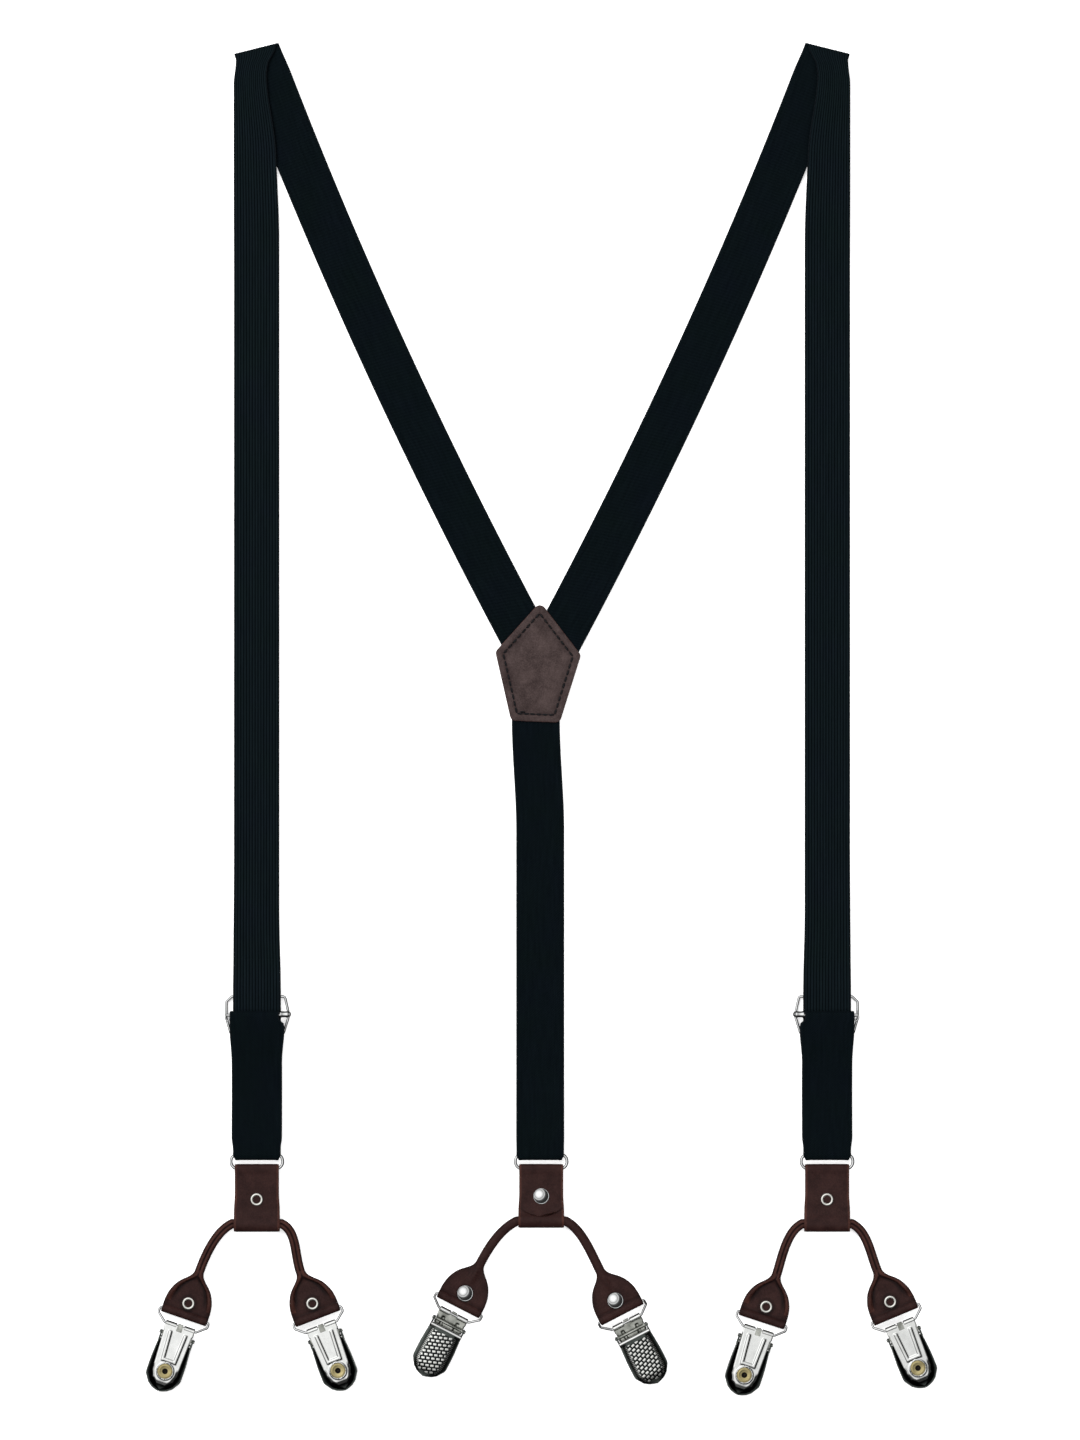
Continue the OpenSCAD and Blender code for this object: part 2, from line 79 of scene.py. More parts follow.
# Metal
RING_R = 0.75
BAIL_R = 0.6
BAIL_L = 6.4
FRAME_R = 0.65
CAP_R = 3.9
CAP_H = 1.3
PLATE_L = 30.0
COVER_L = 33.9
COVER_FOOT = 0.3
PIVOT_Y = -5.2
PIVOT_Z = 1.9
GRIP_Y = -23.2


# ---------------------------------------------------------------- places from the frame

def pivot(joint):
    """A hinge's place at rest."""
    return np.array(JOINTS[joint]["pos_m"]) * 1000


def slant(joint):
    """Angle of a hinge's axis in plan."""
    axis = JOINTS[joint]["axis"]
    return math.degrees(math.atan2(axis[1], axis[0]))


def corners(node):
    """Lowest and highest corner of a CAD node."""
    low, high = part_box(node)
    return np.array(low) * 1000, np.array(high) * 1000


def width(node):
    low, high = corners(node)
    return high[0] - low[0]


def placed(place, turn=0.0, flip=False, pitch=0.0):
    """Moves local shapes to a place, turned in plan, and turned over where flip is true."""
    matrix = Matrix.Translation(Vector(place)) @ Matrix.Rotation(math.radians(turn), 4, "Z")
    if flip:
        matrix = matrix @ Matrix.Rotation(math.pi, 4, "Y")
    return matrix @ Matrix.Rotation(math.radians(pitch), 4, "X")


# ---------------------------------------------------------------- curves and outlines

def ease(low, high, value):
    """Smooth step from 0 at low to 1 at high."""
    t = np.clip((np.asarray(value, float) - low) / (high - low), 0, 1)
    return t * t * (3 - 2 * t)


def unit(rows):
    """Each row scaled to length 1."""
    return rows / np.linalg.norm(rows, axis=1)[:, None]


def lengths(path):
    """Length along a path up to each of its points."""
    return np.concatenate([[0], np.cumsum(np.linalg.norm(np.diff(path, axis=0), axis=1))])


def spread(*parts):
    """A grid of points from its coordinates, each an array, a row, a column or a number."""
    return np.stack(np.broadcast_arrays(*parts), -1)


def curve(points, step=1.0):
    """A smooth curve through points, sampled about every step."""
    p = np.array(points, float)
    p = np.vstack([2 * p[0] - p[1], p, 2 * p[-1] - p[-2]])
    out = []
    for a, b, c, d in zip(p, p[1:], p[2:], p[3:]):
        count = max(1, int(math.ceil(np.linalg.norm(c - b) / step)))
        for t in np.arange(count) / count:
            out.append(0.5 * (2 * b + (c - a) * t + (2 * a - 5 * b + 4 * c - d) * t ** 2
                              + (3 * b - a - 3 * c + d) * t ** 3))
    out.append(p[-2])
    return np.array(out)


def arc(centre, radius, start, finish, steps=12):
    """Points of an arc in a plane."""
    angles = np.radians(np.linspace(start, finish, steps + 1))
    return [(centre[0] + radius * math.cos(a), centre[1] + radius * math.sin(a)) for a in angles]


def rounded(points, radius, steps=8, between=0):
    """A closed outline with its corners rounded, and extra points along each side."""
    p = [np.array(q, float) for q in points]
    out = []
    for i, q in enumerate(p):
        u = (p[i - 1] - q) / np.linalg.norm(p[i - 1] - q)
        v = (p[(i + 1) % len(p)] - q) / np.linalg.norm(p[(i + 1) % len(p)] - q)
        half = math.acos(float(np.clip(u @ v, -1, 1))) / 2
        centre = q + (u + v) / np.linalg.norm(u + v) * radius / math.sin(half)
        a = q + u * radius / math.tan(half) - centre
        b = q + v * radius / math.tan(half) - centre
        start = math.atan2(a[1], a[0])
        turn = (math.atan2(b[1], b[0]) - start + 3 * math.pi) % (2 * math.pi) - math.pi
        for k in range(steps + 1):
            angle = start + turn * k / steps
            out.append(centre + radius * np.array([math.cos(angle), math.sin(angle)]))
        out.append(None)
    ring = []
    for i, q in enumerate(out):
        if q is not None:
            ring.append(q)
        else:
            a = ring[-1]
            b = out[(i + 1) % len(out)]
            ring.extend(a + (b - a) * k / (between + 1) for k in range(1, between + 1))
    return np.array(ring)


def inset(points, distance):
    """A convex clockwise or anticlockwise outline moved inwards."""
    p = [np.array(q, float) for q in points]
    middle = sum(p) / len(p)
    lines = []
    for i, q in enumerate(p):
        along = p[(i + 1) % len(p)] - q
        normal = np.array([-along[1], along[0]]) / np.linalg.norm(along)
        if normal @ (middle - q) < 0:
            normal = -normal
        lines.append((normal, normal @ q + distance))
    out = []
    for i in range(len(p)):
        (n1, d1), (n2, d2) = lines[i - 1], lines[i]
        out.append(np.linalg.solve(np.array([n1, n2]), np.array([d1, d2])))
    return out


# ---------------------------------------------------------------- meshes

class Piece:
    """Gathers closed shells into one mesh."""

    def __init__(self, place=None, mirror=False):
        self.points, self.faces, self.uvs, self.paints, self.relief = [], [], [], [], []
        self.count = 0
        self.place = np.array(place or Matrix.Identity(4))
        self.mirror = mirror

    def shell(self, grid, wrap=(False, True), paint=0, ends=True, uv=None, relief=0.5):
        """Adds a grid of points. Its rows are rings where wrap[1] is true, and ends closes them."""
        grid = np.asarray(grid, float)
        n, m = grid.shape[:2]
        rows = np.arange(n if wrap[0] else n - 1)
        columns = np.arange(m if wrap[1] else m - 1)
        i, j = np.meshgrid(rows, columns, indexing="ij")
        k, l = (i + 1) % n, (j + 1) % m
        quads = np.stack([i * m + j, i * m + l, k * m + l, k * m + j], -1).reshape(-1, 4) + self.count
        paint = np.broadcast_to(np.asarray(paint), (len(columns),)) if np.ndim(paint) < 2 else paint
        self.faces += quads.tolist()
        self.paints += np.broadcast_to(paint, i.shape).reshape(-1).tolist()
        if ends:
            self.faces.append((np.arange(m)[::-1] + self.count).tolist())
            self.faces.append((np.arange(m) + (n - 1) * m + self.count).tolist())
            self.paints += [int(np.asarray(paint).reshape(-1)[0])] * 2
        self.points.append(grid.reshape(-1, 3))
        self.uvs.append(np.zeros((n * m, 2)) if uv is None else np.asarray(uv, float).reshape(-1, 2))
        self.relief.append(np.broadcast_to(np.asarray(relief, float), (n, m)).reshape(-1))
        self.count += n * m
        return self

    def wire(self, path, radius, sides=16):
        """Adds a closed loop of wire."""
        return self.shell(tube(path, radius, sides, closed=True), wrap=(True, True), ends=False)

    def make(self, name, materials, sharp=35):
        """The finished mesh object, in metres."""
        points = np.vstack(self.points)
        points = points @ self.place[:3, :3].T + self.place[:3, 3]
        if self.mirror:
            points[:, 0] = -points[:, 0]
        mesh = bpy.data.meshes.new(name)
        mesh.from_pydata((points * 0.001).tolist(), [], self.faces)
        for material in materials:
            mesh.materials.append(material)
        mesh.polygons.foreach_set("material_index", self.paints)
        uv = mesh.uv_layers.new(name="cloth")
        index = np.empty(len(mesh.loops), np.int64)
        mesh.loops.foreach_get("vertex_index", index)
        uv.data.foreach_set("uv", (np.vstack(self.uvs) * 0.001)[index].astype(np.float32).reshape(-1))
        # The relief attribute carries painted shade, and on the cover painted highlights, into the materials
        # that read it
        relief = mesh.attributes.new("relief", "FLOAT", "POINT")
        relief.data.foreach_set("value", np.concatenate(self.relief).astype(np.float32))
        work = bmesh.new()
        work.from_mesh(mesh)
        bmesh.ops.recalc_face_normals(work, faces=work.faces)
        work.to_mesh(mesh)
        work.free()
        mesh.shade_smooth()
        mesh.set_sharp_from_angle(angle=math.radians(sharp))
        piece = bpy.data.objects.new(name, mesh)
        bpy.context.scene.collection.objects.link(piece)
        return piece

    def ride(self, name, body, slot, materials, *nodes, sharp=35):
        """Makes the piece, on its body, in place of its CAD nodes."""
        piece = self.make(name, materials, sharp)
        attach(piece, body)
        if nodes:
            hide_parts(*nodes)
        return piece


def tube(path, radius, sides=16, closed=False, up=(0, 0, 1), section=None):
    """Rings round a path. section scales the radius by angle."""
    p = np.array(path, float)
    along = unit(np.roll(p, -1, 0) - np.roll(p, 1, 0) if closed else np.gradient(p, axis=0))
    across = unit(np.cross(along, np.array(up, float)))
    above = np.cross(across, along)
    angles = np.arange(sides) * 2 * math.pi / sides
    scale = np.ones(sides) if section is None else section(np.degrees(angles))
    radius = np.broadcast_to(np.asarray(radius, float), (len(p),))
    ring = (across[:, None] * (np.cos(angles) * scale)[None, :, None]
            + above[:, None] * (np.sin(angles) * scale)[None, :, None])
    return p[:, None] + ring * radius[:, None, None]


def rod(a, b, radius, sides=20, bevel=0.15, up=(0, 0, 1)):
    """A round bar with bevelled ends."""
    a, b = np.array(a, float), np.array(b, float)
    u = (b - a) / np.linalg.norm(b - a)
    path = [a, a + u * bevel, a + (b - a) * 0.5, b - u * bevel, b]
    return tube(path, [radius - bevel, radius, radius, radius, radius - bevel], sides, up=up)


def lathe(profile, sides=40):
    """A turned shape about Z, from a profile of radius and height."""
    profile = np.array(profile, float)
    angles = np.arange(sides) * 2 * math.pi / sides
    r, z = profile[:, 0][:, None], profile[:, 1][:, None]
    return np.stack([r * np.cos(angles), r * np.sin(angles), z + 0 * angles], -1)


def moved(grid, place):
    """A grid moved by a matrix."""
    m = np.array(place)
    return np.asarray(grid, float) @ m[:3, :3].T + m[:3, 3]


def slab(outline, low, high, bevel=0.15):
    """A plate with bevelled edges, from a convex outline in X and Y."""
    o = np.array(outline, float)
    middle = o.mean(0)
    size = np.linalg.norm(o - middle, axis=1).max()
    inner = middle + (o - middle) * (1 - bevel / size)
    rows = [(inner, low), (o, low + bevel), (o, high - bevel), (inner, high)]
    return np.array([[(x, y, z) for x, y in ring] for ring, z in rows])


def cheek(outline, x, half, bevel):
    """An upright plate square to X, from an outline in Y and Z."""
    return slab(outline, x - half, x + half, bevel)[:, :, [2, 0, 1]]


# ---------------------------------------------------------------- materials

def fill_ramp(node, stops):
    """Sets a colour ramp's stops: pairs of place and colour."""
    elements = node.color_ramp.elements
    while len(elements) < len(stops):
        elements.new(0.5)
    for element, (place, colour) in zip(elements, stops):
        element.position = place
        element.color = (*colour, 1)


class Surface:
    """A procedural material: one Principled shader with its colour and bump nodes."""

    def __init__(self, name, **values):
        self.material = bpy.data.materials.new(name)
        self.material.use_nodes = True
        self.nodes = self.material.node_tree.nodes
        self.links = self.material.node_tree.links
        self.shader = self.nodes["Principled BSDF"]
        for socket, value in values.items():
            self.shader.inputs[socket.replace("_", " ")].default_value = value
        self.place = self.nodes.new("ShaderNodeTexCoord")
        self.height = None

    def link(self, a, b):
        self.links.new(a, b)

    def at(self, kind="Object", scale=(1, 1, 1), turn=0.0):
        """Coordinates in metres, scaled and turned."""
        mapping = self.node("Mapping", Scale=scale, Rotation=(0, 0, math.radians(turn)))
        self.link(self.place.outputs[kind], mapping.inputs["Vector"])
        return mapping.outputs["Vector"]

    def node(self, kind, **values):
        """A new node with the given input values."""
        node = self.nodes.new("ShaderNode" + kind)
        for socket, value in values.items():
            node.inputs[socket.replace("_", " ")].default_value = value
        return node

    def noise(self, scale, detail=4.0, rough=0.55, where=None):
        node = self.node("TexNoise", Scale=scale, Detail=detail, Roughness=rough)
        self.link(where or self.at(), node.inputs["Vector"])
        return node.outputs["Fac"]

    def cells(self, scale):
        node = self.node("TexVoronoi", Scale=scale)
        self.link(self.at(), node.inputs["Vector"])
        return node.outputs["Distance"]

    def bands(self, pitch, turn=0.0, distortion=0.0, kind="UV"):
        """Stripes every pitch metres, across the direction turn."""
        node = self.node("TexWave", Scale=math.pi / 10 / pitch, Distortion=distortion, Detail_Scale=2.0)
        self.link(self.at(kind, turn=turn), node.inputs["Vector"])
        return node.outputs["Fac"]

    def relief(self):
        # Reads the relief attribute, from which the materials paint shade and highlights
        node = self.nodes.new("ShaderNodeAttribute")
        node.attribute_name = "relief"
        return node.outputs["Fac"]

    def maths(self, what, a, b):
        node = self.nodes.new("ShaderNodeMath")
        node.operation = what
        for socket, value in zip(node.inputs, (a, b)):
            if isinstance(value, (int, float)):
                socket.default_value = value
            else:
                self.link(value, socket)
        return node.outputs["Value"]

    def ramp(self, value, *stops):
        """Colours along a value: each stop is a place and a colour."""
        node = self.nodes.new("ShaderNodeValToRGB")
        fill_ramp(node, stops)
        self.link(value, node.inputs["Fac"])
        return node.outputs["Color"]

    def mix(self, value, a, b):
        node = self.nodes.new("ShaderNodeMix")
        node.data_type = "RGBA"
        self.link(value, node.inputs["Factor"])
        for socket, colour in ((node.inputs[6], a), (node.inputs[7], b)):
            if isinstance(colour, tuple):
                socket.default_value = (*colour, 1)
            else:
                self.link(colour, socket)
        return node.outputs[2]

    def colour(self, socket):
        self.link(socket, self.shader.inputs["Base Color"])
        return self

    def rough(self, value, low, high):
        node = self.node("MapRange", To_Min=low, To_Max=high)
        self.link(value, node.inputs["Value"])
        self.link(node.outputs["Result"], self.shader.inputs["Roughness"])
        return self

    def bump(self, value, distance, strength=1.0):
        """Adds a bump of that depth in metres on top of those before it."""
        node = self.node("Bump", Distance=distance, Strength=strength)
        self.link(value, node.inputs["Height"])
        if self.height is not None:
            self.link(self.height, node.inputs["Normal"])
        self.height = node.outputs["Normal"]
        self.link(self.height, self.shader.inputs["Normal"])
        return self


def twill():
    """Outer face of the webbing: fine diagonal twill of black yarn."""
    s = Surface("twill_webbing", Specular_IOR_Level=0.03)
    lines = s.bands(0.00072, turn=58, distortion=0.6)
    yarn = s.bands(0.00045, turn=-32, distortion=0.4)
    weave = s.maths("MULTIPLY", lines, s.maths("ADD", s.maths("MULTIPLY", yarn, 0.4), 0.6))
    streaks = s.noise(1.0, 3, where=s.at("UV", (900, 60, 1)))
    tone = s.maths("ADD", s.maths("MULTIPLY", weave, 0.55), s.maths("MULTIPLY", streaks, 0.45))
    blue = s.ramp(tone, (0.15, (0.0006, 0.0012, 0.0024)), (0.85, (0.0045, 0.0068, 0.0115)))
    green = s.ramp(tone, (0.15, (0.0005, 0.0014, 0.0014)), (0.85, (0.0040, 0.0085, 0.0080)))
    s.colour(s.mix(s.noise(45, 3), blue, green))
    s.rough(streaks, 0.72, 0.9)
    return s.bump(weave, 0.00012, 0.8).bump(s.noise(2500, 2), 0.00005, 0.5).material


def ribbed():
    """Inner face of the webbing: yarns that cross the lengthwise ribs, with painted shade in the valleys
    between the ribs.
    """
    s = Surface("ribbed_webbing", Specular_IOR_Level=0.03)
    yarn = s.bands(0.00055, turn=90, distortion=0.5)
    streaks = s.noise(1.0, 3, where=s.at("UV", (700, 40, 1)))
    # Painted shade: the tone falls to its darkest where the relief value is low, in the rib valleys
    tone = s.maths("MULTIPLY", s.relief(), s.maths("ADD", s.maths("MULTIPLY", streaks, 0.7), 0.5))
    blue = s.ramp(tone, (0.1, (0.0003, 0.0006, 0.0012)), (0.9, (0.0052, 0.0078, 0.0125)))
    green = s.ramp(tone, (0.1, (0.0003, 0.0008, 0.0009)), (0.9, (0.0045, 0.0095, 0.0092)))
    s.colour(s.mix(s.noise(45, 3), blue, green))
    s.rough(streaks, 0.7, 0.9)
    return s.bump(yarn, 0.00010, 0.7).bump(s.noise(2500, 2), 0.00005, 0.5).material


def leather(name, low, high, groove, specular, rough_range, grain=1.0):
    """Leather: mottled colour over a pebbled grain, with painted shade: the groove colour darkens it where
    the relief value is low, as in grooves.
    """
    s = Surface(name, Specular_IOR_Level=specular)
    cloud = s.noise(160, 6, 0.6)
    pores = s.cells(1500)
    tone = s.maths("ADD", s.maths("MULTIPLY", cloud, 0.8), s.maths("MULTIPLY", pores, 0.25))
    body = s.ramp(tone, (0.3, low), (0.72, high))
    # Painted shade: below a relief value of 0.625 the colour mixes towards the groove colour
    s.colour(s.mix(s.maths("MULTIPLY", s.relief(), 1.6), groove, body))
    s.rough(cloud, *rough_range)
    return s.bump(pores, 0.00010 * grain, 0.8).bump(s.noise(700, 5), 0.00012 * grain, 0.7).material


def metal(name, colour, rough_range, tint=None, scratches=0.00001, ripple=0.0):
    """Plated metal with fine scratches and a slightly uneven surface."""
    s = Surface(name, Metallic=1.0)
    marks = s.noise(1.0, 5, 0.7, s.at("Object", (300, 2600, 900), 25))
    haze = s.noise(220, 4)
    s.colour(s.ramp(haze, (0.25, tint or tuple(c * 0.86 for c in colour)), (0.7, colour)))
    s.rough(marks, *rough_range)
    s.bump(marks, scratches, 0.6)
    if ripple:
        s.bump(s.noise(130, 2), ripple, 0.6)
    return s.material


def plated_cover():
    """Dark plating, painted darker in its recesses as painted shade and near-white on the raised dashes as
    painted highlights.
    """
    s = Surface("gunmetal", Metallic=1.0)
    haze = s.noise(260, 5)
    plain = s.ramp(haze, (0.25, (0.075, 0.090, 0.084)), (0.75, (0.20, 0.225, 0.205)))
    # Painted shade: a low relief value darkens the plating towards near-black
    recess_shade = s.mix(s.relief(), (0.006, 0.007, 0.008), plain)
    # Painted highlight: a relief value above 0.65 is painted near-white
    s.colour(s.mix(s.maths("GREATER_THAN", s.relief(), 0.65), recess_shade, (0.95, 0.96, 0.92)))
    s.rough(haze, 0.22, 0.42)
    return s.bump(haze, 0.00003, 0.4).material


def patterned(name, specular, pattern, stops, rough_range, depth, strength):
    """A surface whose colour, roughness and bump all follow one pattern."""
    s = Surface(name, Specular_IOR_Level=specular)
    value = pattern(s)
    s.colour(s.ramp(value, *stops)).rough(value, *rough_range)
    return s.bump(value, depth, strength).material


TWILL, RIBBED = twill(), ribbed()
SELVEDGE = patterned("selvedge", 0.05, lambda s: s.bands(0.0006, turn=90, distortion=0.3),
                     ((0.0, (0.0012, 0.0020, 0.0030)), (1.0, (0.0080, 0.0110, 0.0135))),
                     (0.65, 0.8), 0.00012, 0.8)
CLOTH = (TWILL, RIBBED, SELVEDGE)
PATCH = leather("patch_leather", (0.020, 0.0125, 0.0120), (0.066, 0.046, 0.044), (0.010, 0.0060, 0.0058),
                0.14, (0.5, 0.7), 1.4)
PATCH_EDGE = leather("patch_edge", (0.026, 0.0115, 0.0105), (0.082, 0.044, 0.040), (0.018, 0.008, 0.008),
                     0.18, (0.45, 0.65), 1.4)
TAB = leather("tab_leather", (0.0115, 0.0040, 0.0037), (0.030, 0.0125, 0.0110), (0.003, 0.0012, 0.0012),
              0.14, (0.36, 0.55))
RAW_EDGE = leather("raw_leather_edge", (0.022, 0.0070, 0.0055), (0.062, 0.0230, 0.0170),
                   (0.010, 0.003, 0.003), 0.18, (0.42, 0.6), 1.3)
LEATHER = (TAB, RAW_EDGE)
CHROME = metal("chrome", (0.90, 0.91, 0.91), (0.04, 0.12))
EYELET = metal("nickel", (0.95, 0.94, 0.88), (0.14, 0.28))
PLATE = metal("plated_steel", (0.95, 0.96, 0.94), (0.08, 0.20), ripple=0.00002)
LEVER = metal("lever_steel", (0.55, 0.56, 0.56), (0.25, 0.4))
BRASS = metal("brass", (0.62, 0.53, 0.27), (0.20, 0.38), tint=(0.34, 0.27, 0.12))
# Painted shade: a darker copy of the plate's steel, for the plate's front face; the ears, tongue and pivot
# rod use it too
SHADED_STEEL = metal("dark_steel", (0.62, 0.63, 0.58), (0.15, 0.3), tint=(0.13, 0.14, 0.12),
                   ripple=0.00004)
GUNMETAL = plated_cover()
RUBBER = patterned("grip_rubber", 0.3, lambda s: s.noise(900, 4),
                   ((0.3, (0.010, 0.010, 0.011)), (0.7, (0.035, 0.034, 0.033))),
                   (0.6, 0.85), 0.00008, 0.6)
# Painted shade: a near-black surface put inside the holes of rivets and eyelets, where there is only shadow
SHADOW = leather("hole", (0.002, 0.0015, 0.001), (0.012, 0.009, 0.007), (0.001, 0.001, 0.001),
                 0.1, (0.6, 0.8))
THREAD = patterned("waxed_thread", 0.3, lambda s: s.bands(0.0005, turn=40, kind="Object"),
                   ((0.2, (0.0015, 0.0015, 0.0020)), (0.9, (0.0110, 0.0110, 0.0130))),
                   (0.45, 0.6), 0.00010, 0.7)
RIVET = (CHROME, EYELET, SHADOW)


# ---------------------------------------------------------------- webbing

def webbing(piece, left, right, ribs_up, ribs=RIBS):
    """A run of webbing between its two edges. One face is ribbed and the other is twill."""
    left, right = np.array(left, float), np.array(right, float)
    middle = (left + right) / 2
    across = right - left
    half = np.linalg.norm(across, axis=1) / 2
    along = np.gradient(middle, axis=0)
    normal = unit(np.cross(along, across))
    # Cross-section: ribbed face, edge, plain face, edge
    fine = np.linspace(-1, 1, ribs * 6 + 1)
    plain = np.linspace(1, -1, 25)
    rib = np.abs(np.sin(np.pi * ribs * (fine + 1) / 2)) ** 0.6
    edge_r = WEB_T / 2
    inner = 1 - edge_r / half.mean()
    bead = 0.10 * ease(1 - 2 * BEAD / half.mean(), 1 - BEAD / half.mean(), np.abs(plain))
    u = [fine * inner]
    w = [edge_r - RIB_DEPTH * (1 - rib)]
    # The relief value is the rib height on the ribbed face, which its material turns into painted shade in
    # the rib valleys
    r = [rib]
    paint = [np.full(len(fine) - 1, 1)]
    bend = np.radians(np.linspace(90, -90, 7))[1:-1]
    edge = 1 - inner
    u += [inner + edge * np.cos(bend), plain * inner, -inner - edge * np.cos(bend)]
    w += [edge_r * np.sin(bend), -edge_r - bead + 0.06, -edge_r * np.sin(bend)]
    r += [np.full(5, 0.7), np.full(25, 0.6), np.full(5, 0.7)]
    paint += [np.full(6, 2), np.full(24, 0), np.full(6, 2)]
    u, w, r, paint = (np.concatenate(q) for q in (u, w, r, paint))
    if not ribs_up:
        w = -w
    grid = middle[:, None] + across[:, None] / 2 * u[None, :, None] + normal[:, None] * w[None, :, None]
    uv = spread(u[None] * half[:, None], lengths(middle)[:, None])
    piece.shell(grid, paint=paint, uv=uv, relief=r)


def stitch(piece, a, b, radius=0.4, sink=0.35, up=(0, 0, 1)):
    """One stitch: a plump length of thread whose ends dive into the leather."""
    a, b, up = np.array(a, float), np.array(b, float), np.array(up, float)
    t = np.linspace(0, 1, 9)
    rise = np.sin(np.pi * t) ** 0.5
    path = a + (b - a) * t[:, None] + up * (sink * (rise - 1))[:, None]
    piece.shell(tube(path, radius * (0.55 + 0.45 * rise), 10, up=up), relief=1.0)


FOLD = pivot("left_shoulder_fold")
FOLD_TILT = math.radians(14)
FOLD_LINE = np.array([math.cos(FOLD_TILT), math.sin(FOLD_TILT)])
RING = pivot("left_ring_swing")
BAR = pivot("left_adjuster_lever_tilt")
BAR_RISE = 9.1
HINGE_Y = BAR[1] - BAR_RISE
HINGE_Z = 5.75
HINGE_R = 0.8
WEB_W = width("left_front_strap")
LOOP_W = width("left_loop_strap")
WEB_T = 1.2
GAP = 0.05
FOLD_HALF = 11.5
FOLD_R = 0.65
LOW_Z = FOLD[2] - FOLD_R
HIGH_Z = FOLD[2] + FOLD_R
STRAP_BOW = 6.3
# Half width of the webbing inside a ring, and the middle line of its turn round the ring's bar
RING_FIT = 11.9
RING_TURN = (2.4, RING_R + GAP + WEB_T / 2)


def ring_turn(y, z, start, finish):
    """A loose turn of webbing round a ring's bar: 0 is under the bar, 180 over it."""
    angles = np.radians(np.linspace(start, finish, 13))
    return [(y - RING_TURN[0] * math.sin(a), z - RING_TURN[1] * math.cos(a)) for a in angles]


def ring_narrowing(y, ring_y, half):
    """How much each edge draws in towards a ring, and round the corners of the turn."""
    drawn = (half - RING_FIT) * (1 - ease(ring_y + 2, ring_y + 9, y))
    return drawn + 0.9 * ease(ring_y - 0.6, ring_y - 2.4, y)


def diagonal_edges():
    """Edges of the left diagonal strap, from its shoulder fold to the middle of the patch."""
    start, finish = FOLD[:2], np.array([-0.5, -4.0])
    t = np.linspace(0, 1, 120)[:, None]
    middle = start * (1 - t) + finish * t - np.hstack([STRAP_BOW * 4 * t * (1 - t), 0 * t])
    along = unit(np.gradient(middle, axis=0))
    side = np.column_stack([along[:, 1], -along[:, 0]])
    # Each row turns from the fold's line to square across the strap
    square = ease(0, 0.06, t)
    across = unit(side * square - FOLD_LINE * (1 - square))
    half = (FOLD_HALF + (WEB_W / 2 - FOLD_HALF) * ease(0, 0.05, t[:, 0]))[:, None]
    z = LOW_Z - 1.2 * ease(0.12, 0.3, t) * (1 - ease(0.72, 0.88, t))
    left = np.hstack([middle + across * half, z])
    right = np.hstack([middle - across * half, z])
    for side_points in (left, right):
        side_points[:, 0] = np.minimum(side_points[:, 0], -0.6)
    return left, right


def make_diagonal(name, sign):
    piece = Piece(mirror=sign < 0)
    left, right = diagonal_edges()
    webbing(piece, left, right, ribs_up=False)
    piece.ride(name + "_diagonal_webbing", "root", "webbing", CLOTH, name + "_diagonal_strap", sharp=50)


def make_fold(name, sign):
    """The webbing's turn at the shoulder, which bends between the two straps."""
    piece = Piece(mirror=sign < 0)
    normal = np.array([-FOLD_LINE[1], FOLD_LINE[0]])
    left, right = [], []
    for angle in np.radians(np.linspace(-90, 90, 13)):
        reach = normal * FOLD_R * math.cos(angle)
        for edge, way in ((left, -1), (right, 1)):
            place = FOLD[:2] + reach + FOLD_LINE * FOLD_HALF * way
            edge.append([*place, FOLD[2] + FOLD_R * math.sin(angle)])
    webbing(piece, left, right, ribs_up=True)
    turn = piece.make(name + "_shoulder_turn", CLOTH, sharp=50)
    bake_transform(turn)


def front_strap_edges():
    """Edges of the left front strap, from its shoulder fold down to the ring."""
    ring_y, ring_z = RING[1], RING[2]
    under = ring_z - RING_R - GAP - WEB_T / 2
    path = curve([
        [FOLD[1], HIGH_Z], [FOLD[1] - 12, HIGH_Z + 0.1], [FOLD[1] - 60, HIGH_Z], [FOLD[1] - 85, 2.0],
        [FOLD[1] - 110, 0.62], [FOLD[1] - 160, 0.6], [HINGE_Y + 60, 0.6], [HINGE_Y + 26, 0.7],
        [HINGE_Y + 13, 3.05], [HINGE_Y, 3.1], [HINGE_Y - 12, 3.05], [HINGE_Y - 28, 1.0],
        [ring_y + 9, under - 0.2], [ring_y + 2, under], [ring_y, under]
    ], 2.5)
    y, z = path[:, 0], path[:, 1]
    drop = FOLD[1] - y
    half = WEB_W / 2
    left = -half + 1.1 * (1 - ease(2, 16, drop)) - 0.4 * ease(400, 470, drop)
    right = half - 4.6 * ease(0, 10, drop) * (1 - ease(12, 52, drop)) - 1.6 * (1 - ease(40, 95, drop))
    right += 0.9 * ease(430, 475, drop)
    narrow = ring_narrowing(y, ring_y, half)
    left += narrow + 0.4
    right -= narrow + 0.9
    # The first rows lie along the fold's slanted line
    tilt = 1 - ease(0, 26, drop)
    slope = math.tan(FOLD_TILT)
    left_edge = np.column_stack([FOLD[0] + left, y + left * slope * tilt, z])
    curl = 0.9 * ease(0, 12, drop) * (1 - ease(40, 80, drop))
    right_edge = np.column_stack([FOLD[0] + right, y + right * slope * tilt, z + curl])
    return left_edge, right_edge


